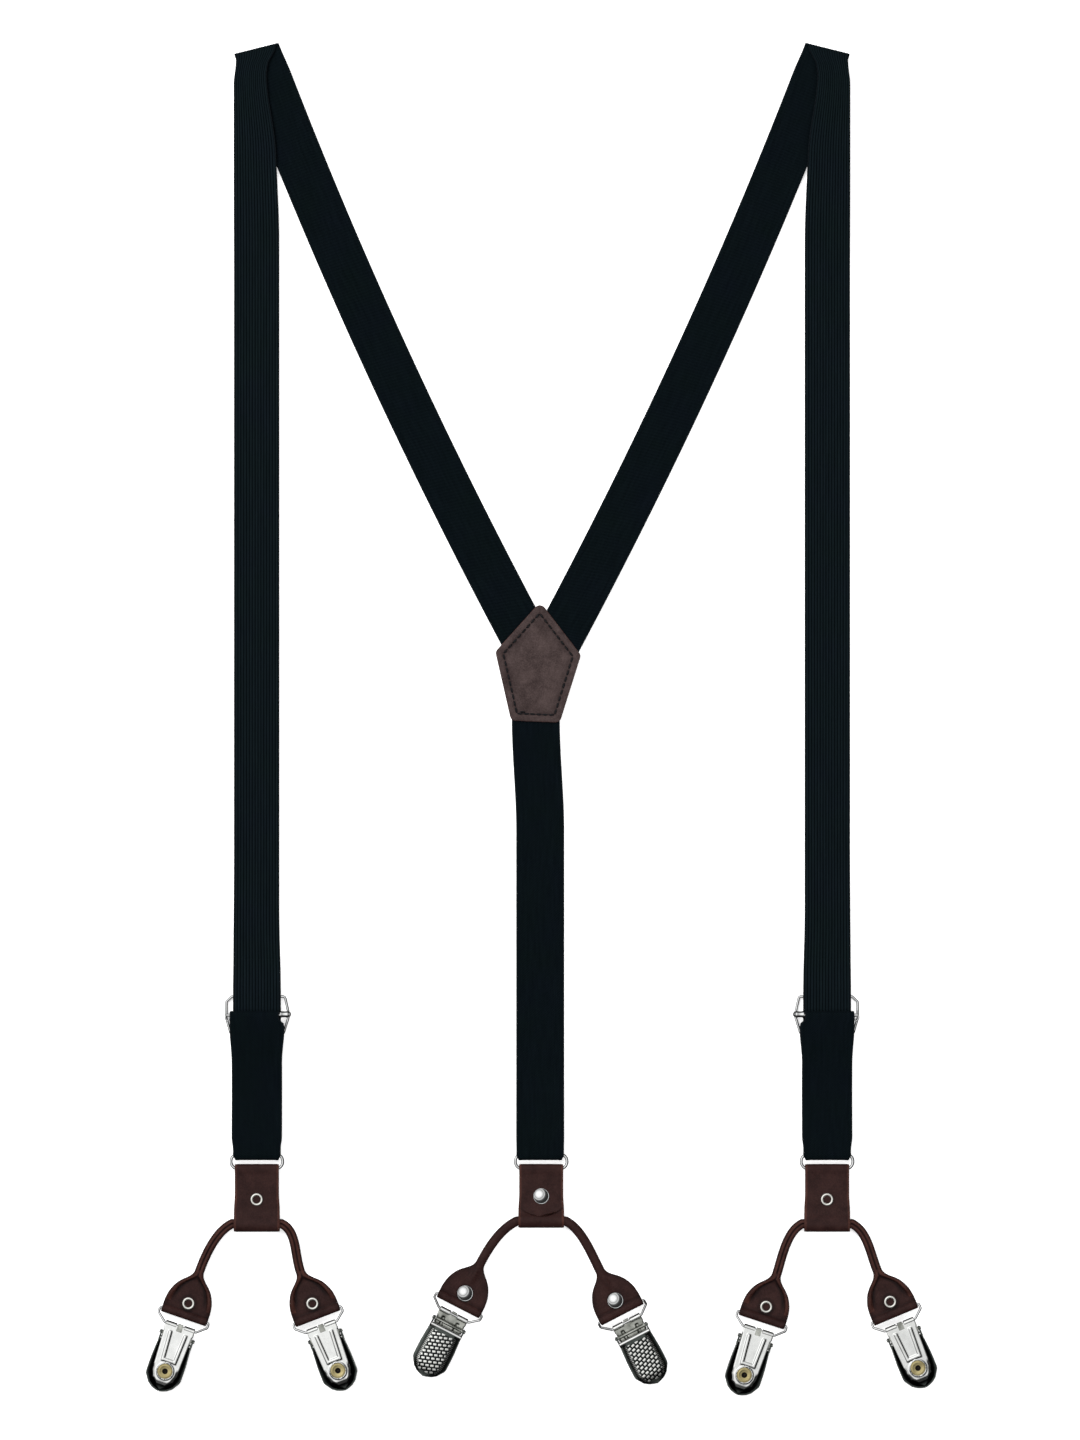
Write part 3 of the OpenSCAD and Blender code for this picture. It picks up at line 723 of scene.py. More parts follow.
def make_front(name, sign):
    """Front strap in three runs, split at y 48 and at the adjuster's hinge."""
    left, right = front_strap_edges()
    middle = 48
    high, low = (int(np.argmin(np.abs(left[:, 1] - y))) for y in (middle, HINGE_Y))
    runs = (("upper", slice(0, high + 1), "_front", "_loop", FOLD[1] - 60, middle + 5),
            ("middle", slice(high, low + 1), "_loop", "_adjuster", middle - 5, HINGE_Y + 30),
            ("lower", slice(low, None), "_loop", "_adjuster", RING[1] + 9, HINGE_Y - 13))
    for run, rows, first, last, start, end in runs:
        piece = Piece(mirror=sign < 0)
        webbing(piece, left[rows], right[rows], ribs_up=True)
        strap = piece.make(name + "_front_webbing_" + run, CLOTH, sharp=50)
        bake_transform(strap)
        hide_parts(name + "_front_strap")


def make_loop(name, sign):
    """Webbing from the ring back up to the adjuster, turned round both bars."""
    piece = Piece(mirror=sign < 0)
    ring_y, ring_z = RING[1], RING[2]
    over = ring_z + RING_TURN[1]
    hinge_r = HINGE_R + GAP + WEB_T / 2
    tail = 2.45 + WEB_T + GAP + WEB_T / 2
    path = curve(
        ring_turn(ring_y, ring_z, 0, 180)
        + [(ring_y + 8, over - 0.3), (ring_y + 22, 3.2), (HINGE_Y - 34, 2.8),
           (HINGE_Y - 22, 4.2), (HINGE_Y - 14, 5.55), (HINGE_Y - 6, HINGE_Z + 1.0)]
        + [(HINGE_Y + hinge_r * math.sin(math.radians(a)), HINGE_Z + hinge_r * math.cos(math.radians(a)))
           for a in range(0, 181, 15)]
        + [(HINGE_Y - 6, tail), (HINGE_Y - 13, tail - 0.05)], 1.6)
    y, z = path[:, 0], path[:, 1]
    half = LOOP_W / 2
    count = len(y)
    order = np.arange(count) / (count - 1)
    narrow = ring_narrowing(y, ring_y, half)
    flare = ease(HINGE_Y - 24, HINGE_Y - 6, y)
    left = -(half + 0.9 * flare - narrow)
    right = half + 1.3 * flare * (1 - ease(HINGE_Y - 5, HINGE_Y - 1.5, y)) - narrow
    right = right - 1.4 * ease(HINGE_Y - 5, HINGE_Y - 2, y) - 1.2 * (order > 0.93)
    left_edge = np.column_stack([RING[0] + left, y, z])
    right_edge = np.column_stack([RING[0] + right, y, z])
    webbing(piece, left_edge, right_edge, ribs_up=True, ribs=11)
    strap = piece.make(name + "_loop_webbing", CLOTH, sharp=50)
    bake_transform(strap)
    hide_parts(name + "_loop_strap")


def make_back_strap():
    """The strap down the back, turned under its ring; the stitching of the turn is not made."""
    piece = Piece()
    ring = pivot("back_ring_swing")
    over, under = ring[2] + RING_TURN[1], ring[2] - RING_TURN[1]
    path = curve(
        [(-6.2, 1.8), (-30, 1.8), (-44, 1.1), (-60, 0.62), (-120, 0.6), (ring[1] + 45, 0.65),
         (ring[1] + 30, 1.6), (ring[1] + 18, 2.9), (ring[1] + 9, over - 0.4)]
        + ring_turn(ring[1], ring[2], 180, 0)
        + [(ring[1] + 9, under - 0.5), (ring[1] + 17, 0.62), (ring[1] + 23, 0.62)], 2.2)
    y, z = path[:, 0], path[:, 1]
    lean = -2.2 * ease(-85, -30, y)
    half = WEB_W / 2
    narrow = ring_narrowing(y, ring[1], half)
    x = -0.9 + lean
    left = np.column_stack([x - half + narrow, y, z])
    right = np.column_stack([x + half - narrow, y, z])
    webbing(piece, left, right, ribs_up=False)
    piece.ride("back_webbing", "root", "webbing", CLOTH, "back_strap", sharp=50)


# ---------------------------------------------------------------- patch

PATCH_L = 59.9
PATCH_W = 42.9
PATCH_FOOT = 24.4
PATCH_TURN = -2.3
PATCH_X = -2.05
PATCH_TOP = PATCH_L * 0.485
PATCH_SHOULDER = PATCH_TOP - PATCH_L * 0.43
STITCH_IN = 3.7
STITCH_PITCH = 3.35
STITCH_LENGTH = 2.5


def patch_corners(distance=0.0):
    """Corners of the patch, or of its stitch line."""
    points = [(0, PATCH_TOP), (-PATCH_W / 2, PATCH_SHOULDER), (-PATCH_FOOT / 2, PATCH_TOP - PATCH_L),
              (PATCH_FOOT / 2, PATCH_TOP - PATCH_L), (PATCH_W / 2, PATCH_SHOULDER)]
    return inset(points, distance) if distance else points


def patch_plan(points):
    """Turns patch points in plan."""
    c, s = math.cos(math.radians(PATCH_TURN)), math.sin(math.radians(PATCH_TURN))
    p = np.array(points, float)
    return np.column_stack([p[:, 0] * c - p[:, 1] * s + PATCH_X, p[:, 0] * s + p[:, 1] * c])


def off_the_straps(x, y):
    """How far a point lies outside the three straps under the patch."""
    far = np.where(y < 2, np.abs(x + 1.5 + 2 * ease(-10, -30, y)) - WEB_W / 2, 99.0)
    for sign in (1, -1):
        a, b = np.array([-sign * 30.0, 62.0]), np.array([-0.5 * sign, -4.0])
        u = (b - a) / np.linalg.norm(b - a)
        away = np.abs((x - a[0]) * u[1] - (y - a[1]) * u[0]) - WEB_W / 2
        far = np.minimum(far, np.where((x - b[0]) * u[0] + (y - b[1]) * u[1] < 4, away, 99.0))
    return far


def pinch_at(x, y):
    """How far the two patch leathers draw together where no strap lies between them."""
    return 0.56 * ease(0.0, 4.5, off_the_straps(x, y))


def patch_sheet(face, profile, other):
    """A patch leather. The profile gives its height and relief from edge to middle; low relief values paint
    shade at the edge and in the stitch groove.
    """
    outer = patch_plan(rounded(patch_corners(), 3.0, 8, 24))
    seam = patch_plan(rounded(patch_corners(STITCH_IN), 1.4, 8, 24))
    middle = seam.mean(0)

    def ring(q):
        if q <= 1:
            return outer * (1 - q) + seam * q
        return seam * (2 - q) + middle * (q - 1)

    rows, relief = [], []
    for q, z, r in other + profile:
        flat = ring(min(q, 1.985))
        pinch = pinch_at(flat[:, 0], flat[:, 1]) * (1 - 0.6 * ease(1, 1.5, q))
        wave = 0.10 * np.sin(flat[:, 0] * 0.55 + 1.3) * np.sin(flat[:, 1] * 0.41) * ease(1.0, 1.4, q)
        rows.append(np.column_stack([flat, z - face * pinch + wave * face]))
        relief.append(np.full(len(flat), r))
    return np.array(rows), np.array(relief)


# Each row: place from the edge to the middle, height, and relief value, which paints shade where it is low
PUFF = [
    (0.0, -0.42, 0.45), (0.02, -0.2, 0.5), (0.07, -0.05, 0.62), (0.16, 0.05, 0.75), (0.3, 0.10, 0.8),
    (0.45, 0.10, 0.7), (0.6, 0.06, 0.62), (0.75, -0.04, 0.58), (0.86, -0.2, 0.52), (0.94, -0.34, 0.46),
    (1.0, -0.40, 0.42), (1.03, -0.34, 0.44), (1.07, -0.2, 0.5), (1.12, -0.03, 0.56), (1.18, 0.10, 0.6),
    (1.26, 0.22, 0.62), (1.36, 0.31, 0.62), (1.48, 0.38, 0.62), (1.62, 0.43, 0.62), (1.76, 0.46, 0.62),
    (1.9, 0.48, 0.62), (1.99, 0.48, 0.62)
]


def make_patch():
    """The two leathers, each with its puffed face outwards and a flat face towards the straps."""
    for name, face in (("patch_front", 1), ("patch_back", -1)):
        low, high = corners(name)
        if face > 0:
            profile, inside = [(q, high[2] + z, r) for q, z, r in PUFF], low[2]
        else:
            profile, inside = [(q, low[2] - min(z, 0.0), r) for q, z, r in PUFF], high[2]
        # Painted shade: the flat faces towards the straps get a low relief value
        flat = [(q, inside, 0.3) for q in (1.99, 1.5, 1.0, 0.6, 0.25, 0.02)]
        grid, relief = patch_sheet(face, profile, flat)
        if face < 0:
            grid[:, :, 2] = np.maximum(grid[:, :, 2], 0.0)
        paint = np.zeros((len(grid) - 1, grid.shape[1]), int)
        paint[5:8] = 1
        piece = Piece()
        piece.shell(grid, paint=paint, relief=relief)
        piece.ride(name + "_leather", "root", "patch_leather", (PATCH, PATCH_EDGE), name)


def make_patch_stitching():
    """One row of thread round the patch, seen on both leathers."""
    piece = Piece()
    top = corners("patch_front")[1][2]
    seam = patch_corners(STITCH_IN)
    for i, a in enumerate(seam):
        b = seam[(i + 1) % len(seam)]
        side = np.linalg.norm(b - a)
        count = round(side / STITCH_PITCH)
        for k in range(count):
            ends = [(k + 0.5) / count + way * STITCH_LENGTH / 2 / side for way in (-1, 1)]
            p, q = patch_plan([a + (b - a) * t for t in ends])
            pinch = float(pinch_at(*((p + q) / 2)))
            stitch(piece, (*p, top - 0.05 - pinch), (*q, top - 0.05 - pinch), 0.47)
            stitch(piece, (*p, 0.36 + pinch), (*q, 0.36 + pinch), 0.32, up=(0, 0, -1))
    # Back-tacked end of the seam at the lower left corner
    p, q = patch_plan([seam[2] + np.array([1.6, 0.9]), seam[2] + np.array([4.0, 0.9])])
    stitch(piece, (*p, top - 0.05), (*q, top - 0.05), 0.4)
    piece.ride("patch_thread", "root", "patch_leather", (THREAD,))


# ---------------------------------------------------------------- rings and tabs

def ring_path(x, y, z):
    """Middle line of a wire ring whose upper and lower bars are at y and y - 7.2."""
    half, span, bend = 12.9, 7.2, 3.4
    corner = [(-half, -span / 2), (half, -span / 2), (half, span / 2), (-half, span / 2)]
    plan = rounded(corner, bend, 12, 20)
    return [(x + px, y - span / 2 + py, z) for px, py in plan]


def make_ring(name):
    upper = pivot(name + "_ring_swing")
    piece = Piece()
    piece.wire(ring_path(*upper), RING_R, 20)
    piece.ride(name + "_wire_ring", name + "_ring", "chrome", (CHROME,), name + "_ring")


def cut_edges(columns):
    """Places of the cut edges round a leather sheet whose two faces have this many columns."""
    return [0, columns - 2, columns - 1, columns, 2 * columns - 2, 2 * columns - 1]


def strip(piece, path, half, thick, bow=0.0, columns=21):
    """Leather along a path in Y and Z, its first end cut to a curve bow deep."""
    path = np.array(path, float)
    run = lengths(path)
    along = np.gradient(path, axis=0)
    normal = unit(np.column_stack([-along[:, 1], along[:, 0]]))
    u = np.linspace(-1, 1, columns)
    t = np.linspace(0, 1, len(path) * 2)
    first = bow * u ** 2
    place = first[None] + t[:, None] * (run[-1] - first[None])
    y, z = np.interp(place, run, path[:, 0]), np.interp(place, run, path[:, 1])
    ny, nz = np.interp(place, run, normal[:, 0]), np.interp(place, run, normal[:, 1])
    side = np.interp(place, run, half)
    bevel = 0.18
    flat = np.clip((1 - np.abs(u)) * side.mean() / 0.5, 0, 1)
    wear = thick / 2 - bevel * (1 - flat)
    x = u[None] * side
    face = np.stack([x, y + ny * wear, z + nz * wear], -1)
    back = np.stack([x, y - ny * wear, z - nz * wear], -1)[:, ::-1]
    grid = np.concatenate([face, back], 1)
    paint = np.zeros(2 * columns, int)
    paint[cut_edges(columns)] = 1
    piece.shell(grid, paint=paint, relief=0.62)


def tab_path(length):
    """Side view of a tab: flap end, round the ring's bar, down the back and round the cord."""
    c = -length
    ring_bar = [(y * 2.0 / 1.3, z) for y, z in arc((0, 0), 1.3, 90, -90, 12)]
    cord_roll = [(c + y * CORD_ROLL, z * 2.5) for y, z in arc((0, 0), 1, 300, 50, 22)]
    return curve(
        [(c + 2.2, 2.45), (c + 3.6, 1.9), (c + 5.4, 1.25), (c + 7.6, 0.88), (c + 10.6, 0.8),
         (c + 18, 0.8), (-3.4, 0.95), (-1.4, 1.2)]
        + ring_bar
        + [(-1.4, -1.2), (-3.4, -0.95), (c + 18, -0.8), (c + 10.6, -0.8), (c + 7.0, -0.85),
           (c + 4.6, -1.3), (c + 3.0, -1.95)]
        + cord_roll
        + [(c + 3.6, 1.0), (c + 5.4, 0.35), (c + 7.6, 0.05), (c + 10.6, 0.0), (c + 13.4, 0.0)], 0.7)


# The tab's roll round the cord and the cord's height above the tab's foot, how far the front tabs
# hang below the others, and how far up the back tab's rivet sits
CORD_ROLL = 3.25
TAB_FOOT = 3.3
FRONT_TAB_DROP = 2.0
BACK_RIVET_LIFT = 1.7


def make_tab(name, flip):
    lower = pivot(name + "_tab_swing")
    low, high = corners(name + "_tab")
    rivet_low, rivet_high = corners(name + "_tab_rivet")
    length = lower[1] - low[1] - TAB_FOOT + (FRONT_TAB_DROP if flip else 0)
    piece = Piece(placed(lower, flip=flip))
    path = tab_path(length)
    half = (high[0] - low[0]) / 2 + 0.45 * ease(-12, -22, path[:, 0])
    strip(piece, path, half, SHEET, bow=5.4)
    piece.ride(name + "_tab_leather", name + "_tab", "tab_leather", LEATHER, name + "_tab")
    middle = (rivet_low + rivet_high) / 2
    lift = 0 if flip else BACK_RIVET_LIFT
    piece = Piece(placed((middle[0], middle[1] + lift, lower[2]), flip=flip))
    rivet(piece, 3.3, 1.8)
    piece.ride(name + "_tab_rivet_metal", name + "_tab", "chrome", RIVET, name + "_tab_rivet")


def rivet(piece, eyelet, hole, at=None):
    """A rivet: domed cap above, rolled tubular eyelet below."""
    at = at or Matrix.Identity(4)
    face = 1.2
    dome = (CAP_R ** 2 + CAP_H ** 2) / (2 * CAP_H)
    cap = [(0.05, face - 0.6), (1.7, face - 0.6), (1.7, face - 0.05), (CAP_R - 0.25, face - 0.05),
           (CAP_R, face + 0.12), (CAP_R - 0.05, face + 0.3)]
    cap += [(CAP_R * k, face + CAP_H - dome + math.sqrt(dome ** 2 - (CAP_R * k) ** 2) + 0.02)
            for k in np.linspace(0.97, 0.01, 16)]
    piece.shell(moved(lathe(cap, 72), at))
    profile = eyelet_profile(eyelet, hole, face)
    sides = 40
    paint = np.ones((len(profile) - 1, sides), int)
    # Painted shade: the faces inside the hole take the near-black hole material
    paint[-3:] = 2
    piece.shell(moved(lathe(profile, sides), at), paint=paint)


def eyelet_profile(eyelet, hole, face):
    """Profile of a rolled eyelet with a blind hole, on the underside."""
    middle, half = (eyelet + hole) / 2, (eyelet - hole) / 2
    roll = [(middle + half * math.cos(math.radians(a)), -face - 0.6 * math.sin(math.radians(a)))
            for a in range(0, 181, 15)]
    return ([(0.05, face - 0.4), (hole + 0.1, face - 0.4), (hole + 0.1, -face + 0.15),
             (eyelet, -face + 0.15)]
            + roll + [(hole - 0.05, -face + 0.8), (hole - 0.1, face - 0.8), (0.05, face - 0.75)])


# ---------------------------------------------------------------- yokes

def end_place(end, flip):
    """Rivet place and slant of a yoke's end, and the matrix of its local shapes."""
    bail = pivot(end + "_bail_swing")
    turn = slant(end + "_bail_swing")
    c, s = math.cos(math.radians(turn)), math.sin(math.radians(turn))
    place = bail + FOOT_DROP * np.array([-s, c, 0])
    return place, turn, placed(place, turn, flip)


def cord_half_path(out_x, down_y, turn, drop, steps=26):
    """Middle line of the cord on one side: out of the tab and down in one curve to an end's neck."""
    lean = math.radians(abs(turn))
    up = np.array([-math.sin(lean), math.cos(lean)])
    start = np.array([CORD_OUT, -0.3 - 0.6 * drop])
    neck = np.array([abs(out_x), down_y]) + NECK * up
    a, b = start + 9 * np.array([math.cos(0.46), -math.sin(0.46)]), neck + 10 * up
    inside = [(x, -drop) for x in (0.5, 5.0, 9.0)]
    bend = [tuple((1 - t) ** 3 * start + 3 * t * (1 - t) ** 2 * a + 3 * t * t * (1 - t) * b + t ** 3 * neck)
            for t in np.linspace(0, 1, steps)]
    return inside + bend + [tuple(neck - 1.6 * up)]


CORD_OUT = 12.3
CORD_SIDES = 36
CORD_FLAT = 0.28


def cord_section(seam):
    """Section of the cord by angle: wider than high, with a groove along its seam."""
    return lambda a: (1 + CORD_FLAT * np.cos(np.radians(a)) ** 2
                      - 0.26 * np.exp(-(((a - seam) / 13) ** 2)))


def make_yoke(name, flip):
    body = name + "_yoke"
    lower = pivot(name + "_tab_swing")
    low = corners(name + "_tab")[0]
    centre = np.array([lower[0], low[1] + TAB_FOOT, lower[2]])
    ends = [end_place(end, flip) for end in GROUPS[name]]
    halves = []
    for (place, turn, matrix), way in zip(ends, (-1, 1)):
        out_x, down_y = place[0] - centre[0], place[1] - centre[1]
        half = cord_half_path(out_x, down_y, turn, FRONT_TAB_DROP if flip else 0)
        halves.append([(centre[0] + way * x, centre[1] + y, centre[2]) for x, y in half])
    path = curve(halves[0][::-1] + halves[1], 1.1)
    # The seam shows on the back of the leather
    seam = 90 if flip else 270
    angles = np.arange(CORD_SIDES) * 360 / CORD_SIDES
    # Painted shade: the cord is darker along its seam's groove
    shade = 0.62 - 0.5 * np.exp(-(((angles - seam) / 14.0) ** 2))
    paint = np.where((np.abs(angles - seam) > 18) & (np.abs(angles - seam) < 44), 1, 0)
    piece = Piece()
    piece.shell(tube(path, 1.85, CORD_SIDES, section=cord_section(seam)), paint=paint, relief=shade)
    for place, turn, matrix in ends:
        flared_end(piece, matrix)
    piece.ride(name + "_yoke_leather", body, "tab_leather", LEATHER, name + "_yoke")
    piece = Piece()
    for place, turn, matrix in ends:
        rivet(piece, 3.25, 1.75, matrix)
    piece.ride(name + "_yoke_rivet_metal", body, "chrome", RIVET, name + "_yoke_rivets")


END_SIDE = [(-8.3, 11.6), (-7.6, 11.9), (-6.3, 12.0), (-3.5, 12.0), (-1, 11.9), (3, 11.2), (7.3, 9.3),
            (10.0, 7.2), (12.0, 5.1), (13.6, 3.6), (15.0, 2.75), (16.2, 2.4), (17.4, 2.25)]


def flared_end(piece, matrix):
    """Flat leather at a yoke's end. Its upper edges are rolled on the back, into the cord."""
    side = np.array(END_SIDE)
    y = np.unique(np.concatenate([np.linspace(-8.2, -5.4, 12), np.linspace(-5.4, 17.4, 62)]))
    half = curve(side, 0.4)
    w = np.interp(y, half[:, 0], half[:, 1])[:, None]
    y = y[:, None]
    u = np.sin(np.radians(np.linspace(-90, 90, 41)))[None]
    x = u * w
    edge = np.clip((w - np.abs(x)) / 0.55, 0, 1) ** 0.6
    foot = np.sqrt(np.clip(FOOT_R ** 2 - (y + FOOT_DROP) ** 2, 0.002, None))
    foot = np.where(y > -FOOT_DROP, FOOT_R, foot)
    swell = 1 - ease(-5.6, -3.2, y)
    neck = ease(11.0, 16.0, y)
    round_neck = 1.8 * np.sqrt(np.clip(1 - (x / np.maximum(w, 2.3)) ** 2, 0.02, 1))
    near_cap = np.exp(-((np.hypot(x, y) / 4.2) ** 6))
    crease = 0.30 * np.exp(-(((y + 3.7) / 0.7) ** 2))
    # Face side: flat, with the cord running in as a ridge
    ridge = 0.95 * np.exp(-((x / 1.5) ** 2)) * ease(3.6, 9.5, y)
    face = 1.15 * (1 - swell) + foot * swell + ridge - crease - 0.15 * near_cap
    face = (face * (0.45 + 0.55 * edge)) * (1 - neck) + round_neck * neck
    # Back: two rolls along the upper edges round a sunk middle
    roll_at = (w - np.abs(x) - 1.3) / (1.0 + 0.2 * ease(10, 2, y))
    rolls = 1.45 * np.exp(-(roll_at ** 4)) * ease(-3.5, 3.5, y)
    back = (0.62 * (1 - swell) + foot * swell + rolls + 0.25 * (1 - ease(2, 7, y)) * (1 - swell)
            - crease * 0.5 + 0.12 * near_cap)
    back = (back * (0.35 + 0.65 * edge)) * (1 - neck) + round_neck * neck
    front = spread(x, y, face)
    rear = spread(x, y, -back)[:, ::-1]
    grid = np.concatenate([front, rear], 1)
    columns = u.shape[1]
    paint = np.zeros((len(y) - 1, 2 * columns), int)
    paint[:, cut_edges(columns)] = 1
    rolled = (np.abs(roll_at) < 0.95) & (y > -1.0)
    paint[:, columns:] |= rolled[1:, ::-1]
    # Painted shade: darker towards the edges, in the crease, in a ring round the rivet cap, and on the back
    # in the valleys inside the rolls
    flat = 0.66 - 0.26 * np.exp(-(((w - np.abs(x)) / 2.2) ** 2)) - 0.3 * np.exp(-(((y + 3.7) / 0.6) ** 2))
    shade = flat - 0.4 * np.exp(-((np.hypot(x, y) - 4.0) / 0.55) ** 2)
    valley_shade = shade - 0.55 * np.exp(-((roll_at - 1.9) / 0.9) ** 2) * ease(-2, 4, y)
    relief = np.concatenate([shade, valley_shade[:, ::-1]], 1)
    piece.shell(moved(grid, matrix), paint=paint, relief=relief)


# ---------------------------------------------------------------- clips

def make_bail(end):
    upper = pivot(end + "_bail_swing")
    lower = pivot(end + "_clip_swing")
    turn = slant(end + "_bail_swing")
    pitch = -math.degrees(math.asin((lower[2] - upper[2]) / BAIL_L))
    plan = rounded([(-12.8, 0), (-12.8, -2.6), (-8.3, -BAIL_L), (8.3, -BAIL_L), (12.8, -2.6), (12.8, 0)],
                   0.8, 6, 6)
    piece = Piece(placed(upper, turn, pitch=pitch))
    piece.wire([(x, y, 0) for x, y in plan], BAIL_R)
    piece.ride(end + "_wire_bail", end + "_bail", "chrome", (CHROME,), end + "_bail")


PLATE_SIDE = [(0.6, 7.5), (-0.4, 7.75), (-2.8, 7.75), (-3.6, 7.3), (-14, 6.85), (-24.3, 6.4), (-27.5, 5.1),
              (-30, 2.4)]


def plate_relief(x, y, w):
    """Embossing of the back plate, outwards on its back: the U, the ring and the bevelled foot."""
    leg_x = np.interp(-y, [2.5, 18.0], [4.0, 3.1])
    leg = np.exp(-(((np.abs(x) - leg_x) / 0.85) ** 4)) * ease(-2.6, -3.4, y) * ease(-18.9, -18.1, y)
    foot = np.exp(-(((y + 17.6) / 0.85) ** 4)) * (np.abs(x) < leg_x + 0.5)
    groove = np.maximum(leg, foot)
    ring = np.exp(-(((np.hypot(x, y - GRIP_Y) - 4.05) / 0.38) ** 2))
    seat = np.hypot(x, y - GRIP_Y) < 3.5
    rim = np.clip(1 - (w - np.abs(x)) / 1.3, 0, 1) * ease(-20.5, -23, y)
    tip = np.clip(1 - (y + PLATE_L) / 1.6, 0, 1)
    return 0.45 * groove + 0.42 * ring - 0.12 * seat - 0.65 * np.maximum(rim, tip), groove


def make_plate(end, matrix):
    """Stamped back plate with a rolled head, two ears and the pivot rod."""
    side = np.array(PLATE_SIDE)[::-1]
    y = np.concatenate([np.linspace(-PLATE_L, -2.0, 96), np.linspace(-1.7, 0.3, 6)])
    w = np.interp(y, side[:, 0], side[:, 1])[:, None]
    y = y[:, None]
    u = np.linspace(-1, 1, 61)[None]
    x = u * w
    lift, groove = plate_relief(x, y, w)
    edge = 0.22 * np.clip(1 - (w - np.abs(x)) / 0.35, 0, 1)
    back = spread(x, y, -1.2 - lift + edge)
    front = spread(x, y, -0.5 - lift * 0.9 - edge)[:, ::-1]
    relief = np.clip(0.9 - 0.5 * np.exp(-((groove - 0.5) / 0.25) ** 2), 0, 1)
    piece = Piece(matrix)
    # Painted shade: the front face takes the darker copy of the plate's steel
    paint = np.repeat([0, 1], x.shape[1])
    piece.shell(np.concatenate([back, front], 1), paint=paint,
                relief=np.concatenate([relief, relief[:, ::-1]], 1))
    for way in (-1, 1):
        piece.shell(rod((way * 1.9, 0, 0), (way * 7.6, 0, 0), 1.35, 28, 0.2))
        ear = rounded([(-3.3, -1.1), (-3.3, 2.6), (-5.2, 3.6), (-7.2, 2.4), (-7.2, -1.1)], 0.7, 5)
        piece.shell(cheek(ear, way * 7.15, 0.35, 0.1), paint=1)
    tongue = slab(rounded([(-1.55, -2.6), (-1.35, 1.5), (1.35, 1.5), (1.55, -2.6)], 0.4, 5), -1.25, -0.55)
    piece.shell(tongue, paint=1)
    piece.shell(rod((-9.2, PIVOT_Y, PIVOT_Z), (9.2, PIVOT_Y, PIVOT_Z), 0.8, 20, 0.2), paint=1)
    piece.ride(end + "_back_plate", end + "_clip", "nickel", (PLATE, SHADED_STEEL), end + "_clip_plate",
               sharp=40)


COVER_SIDE = [(-7.9, 8.3), (-11, 8.7), (-14, 8.9), (-18, 9.15), (-22, 9.2), (-26.0, 9.15), (-27.2, 8.9),
              (-31.0, 6.4), (-32.7, 4.1), (-33.5, 2.0), (-33.9, 0.2)]


def dashes(x, y):
    """Embossed basket of short slanted dashes."""
    a = (x * 0.94 + y * 0.34) / 2.5
    b = (-x * 0.34 + y * 0.94) / 1.8
    shift = np.floor(b) % 2 * 0.5
    run = np.abs((a + shift) % 1 - 0.5) * 2
    row = np.abs(b % 1 - 0.5) * 2
    return ease(0.90, 0.50, run) * ease(0.85, 0.40, row)


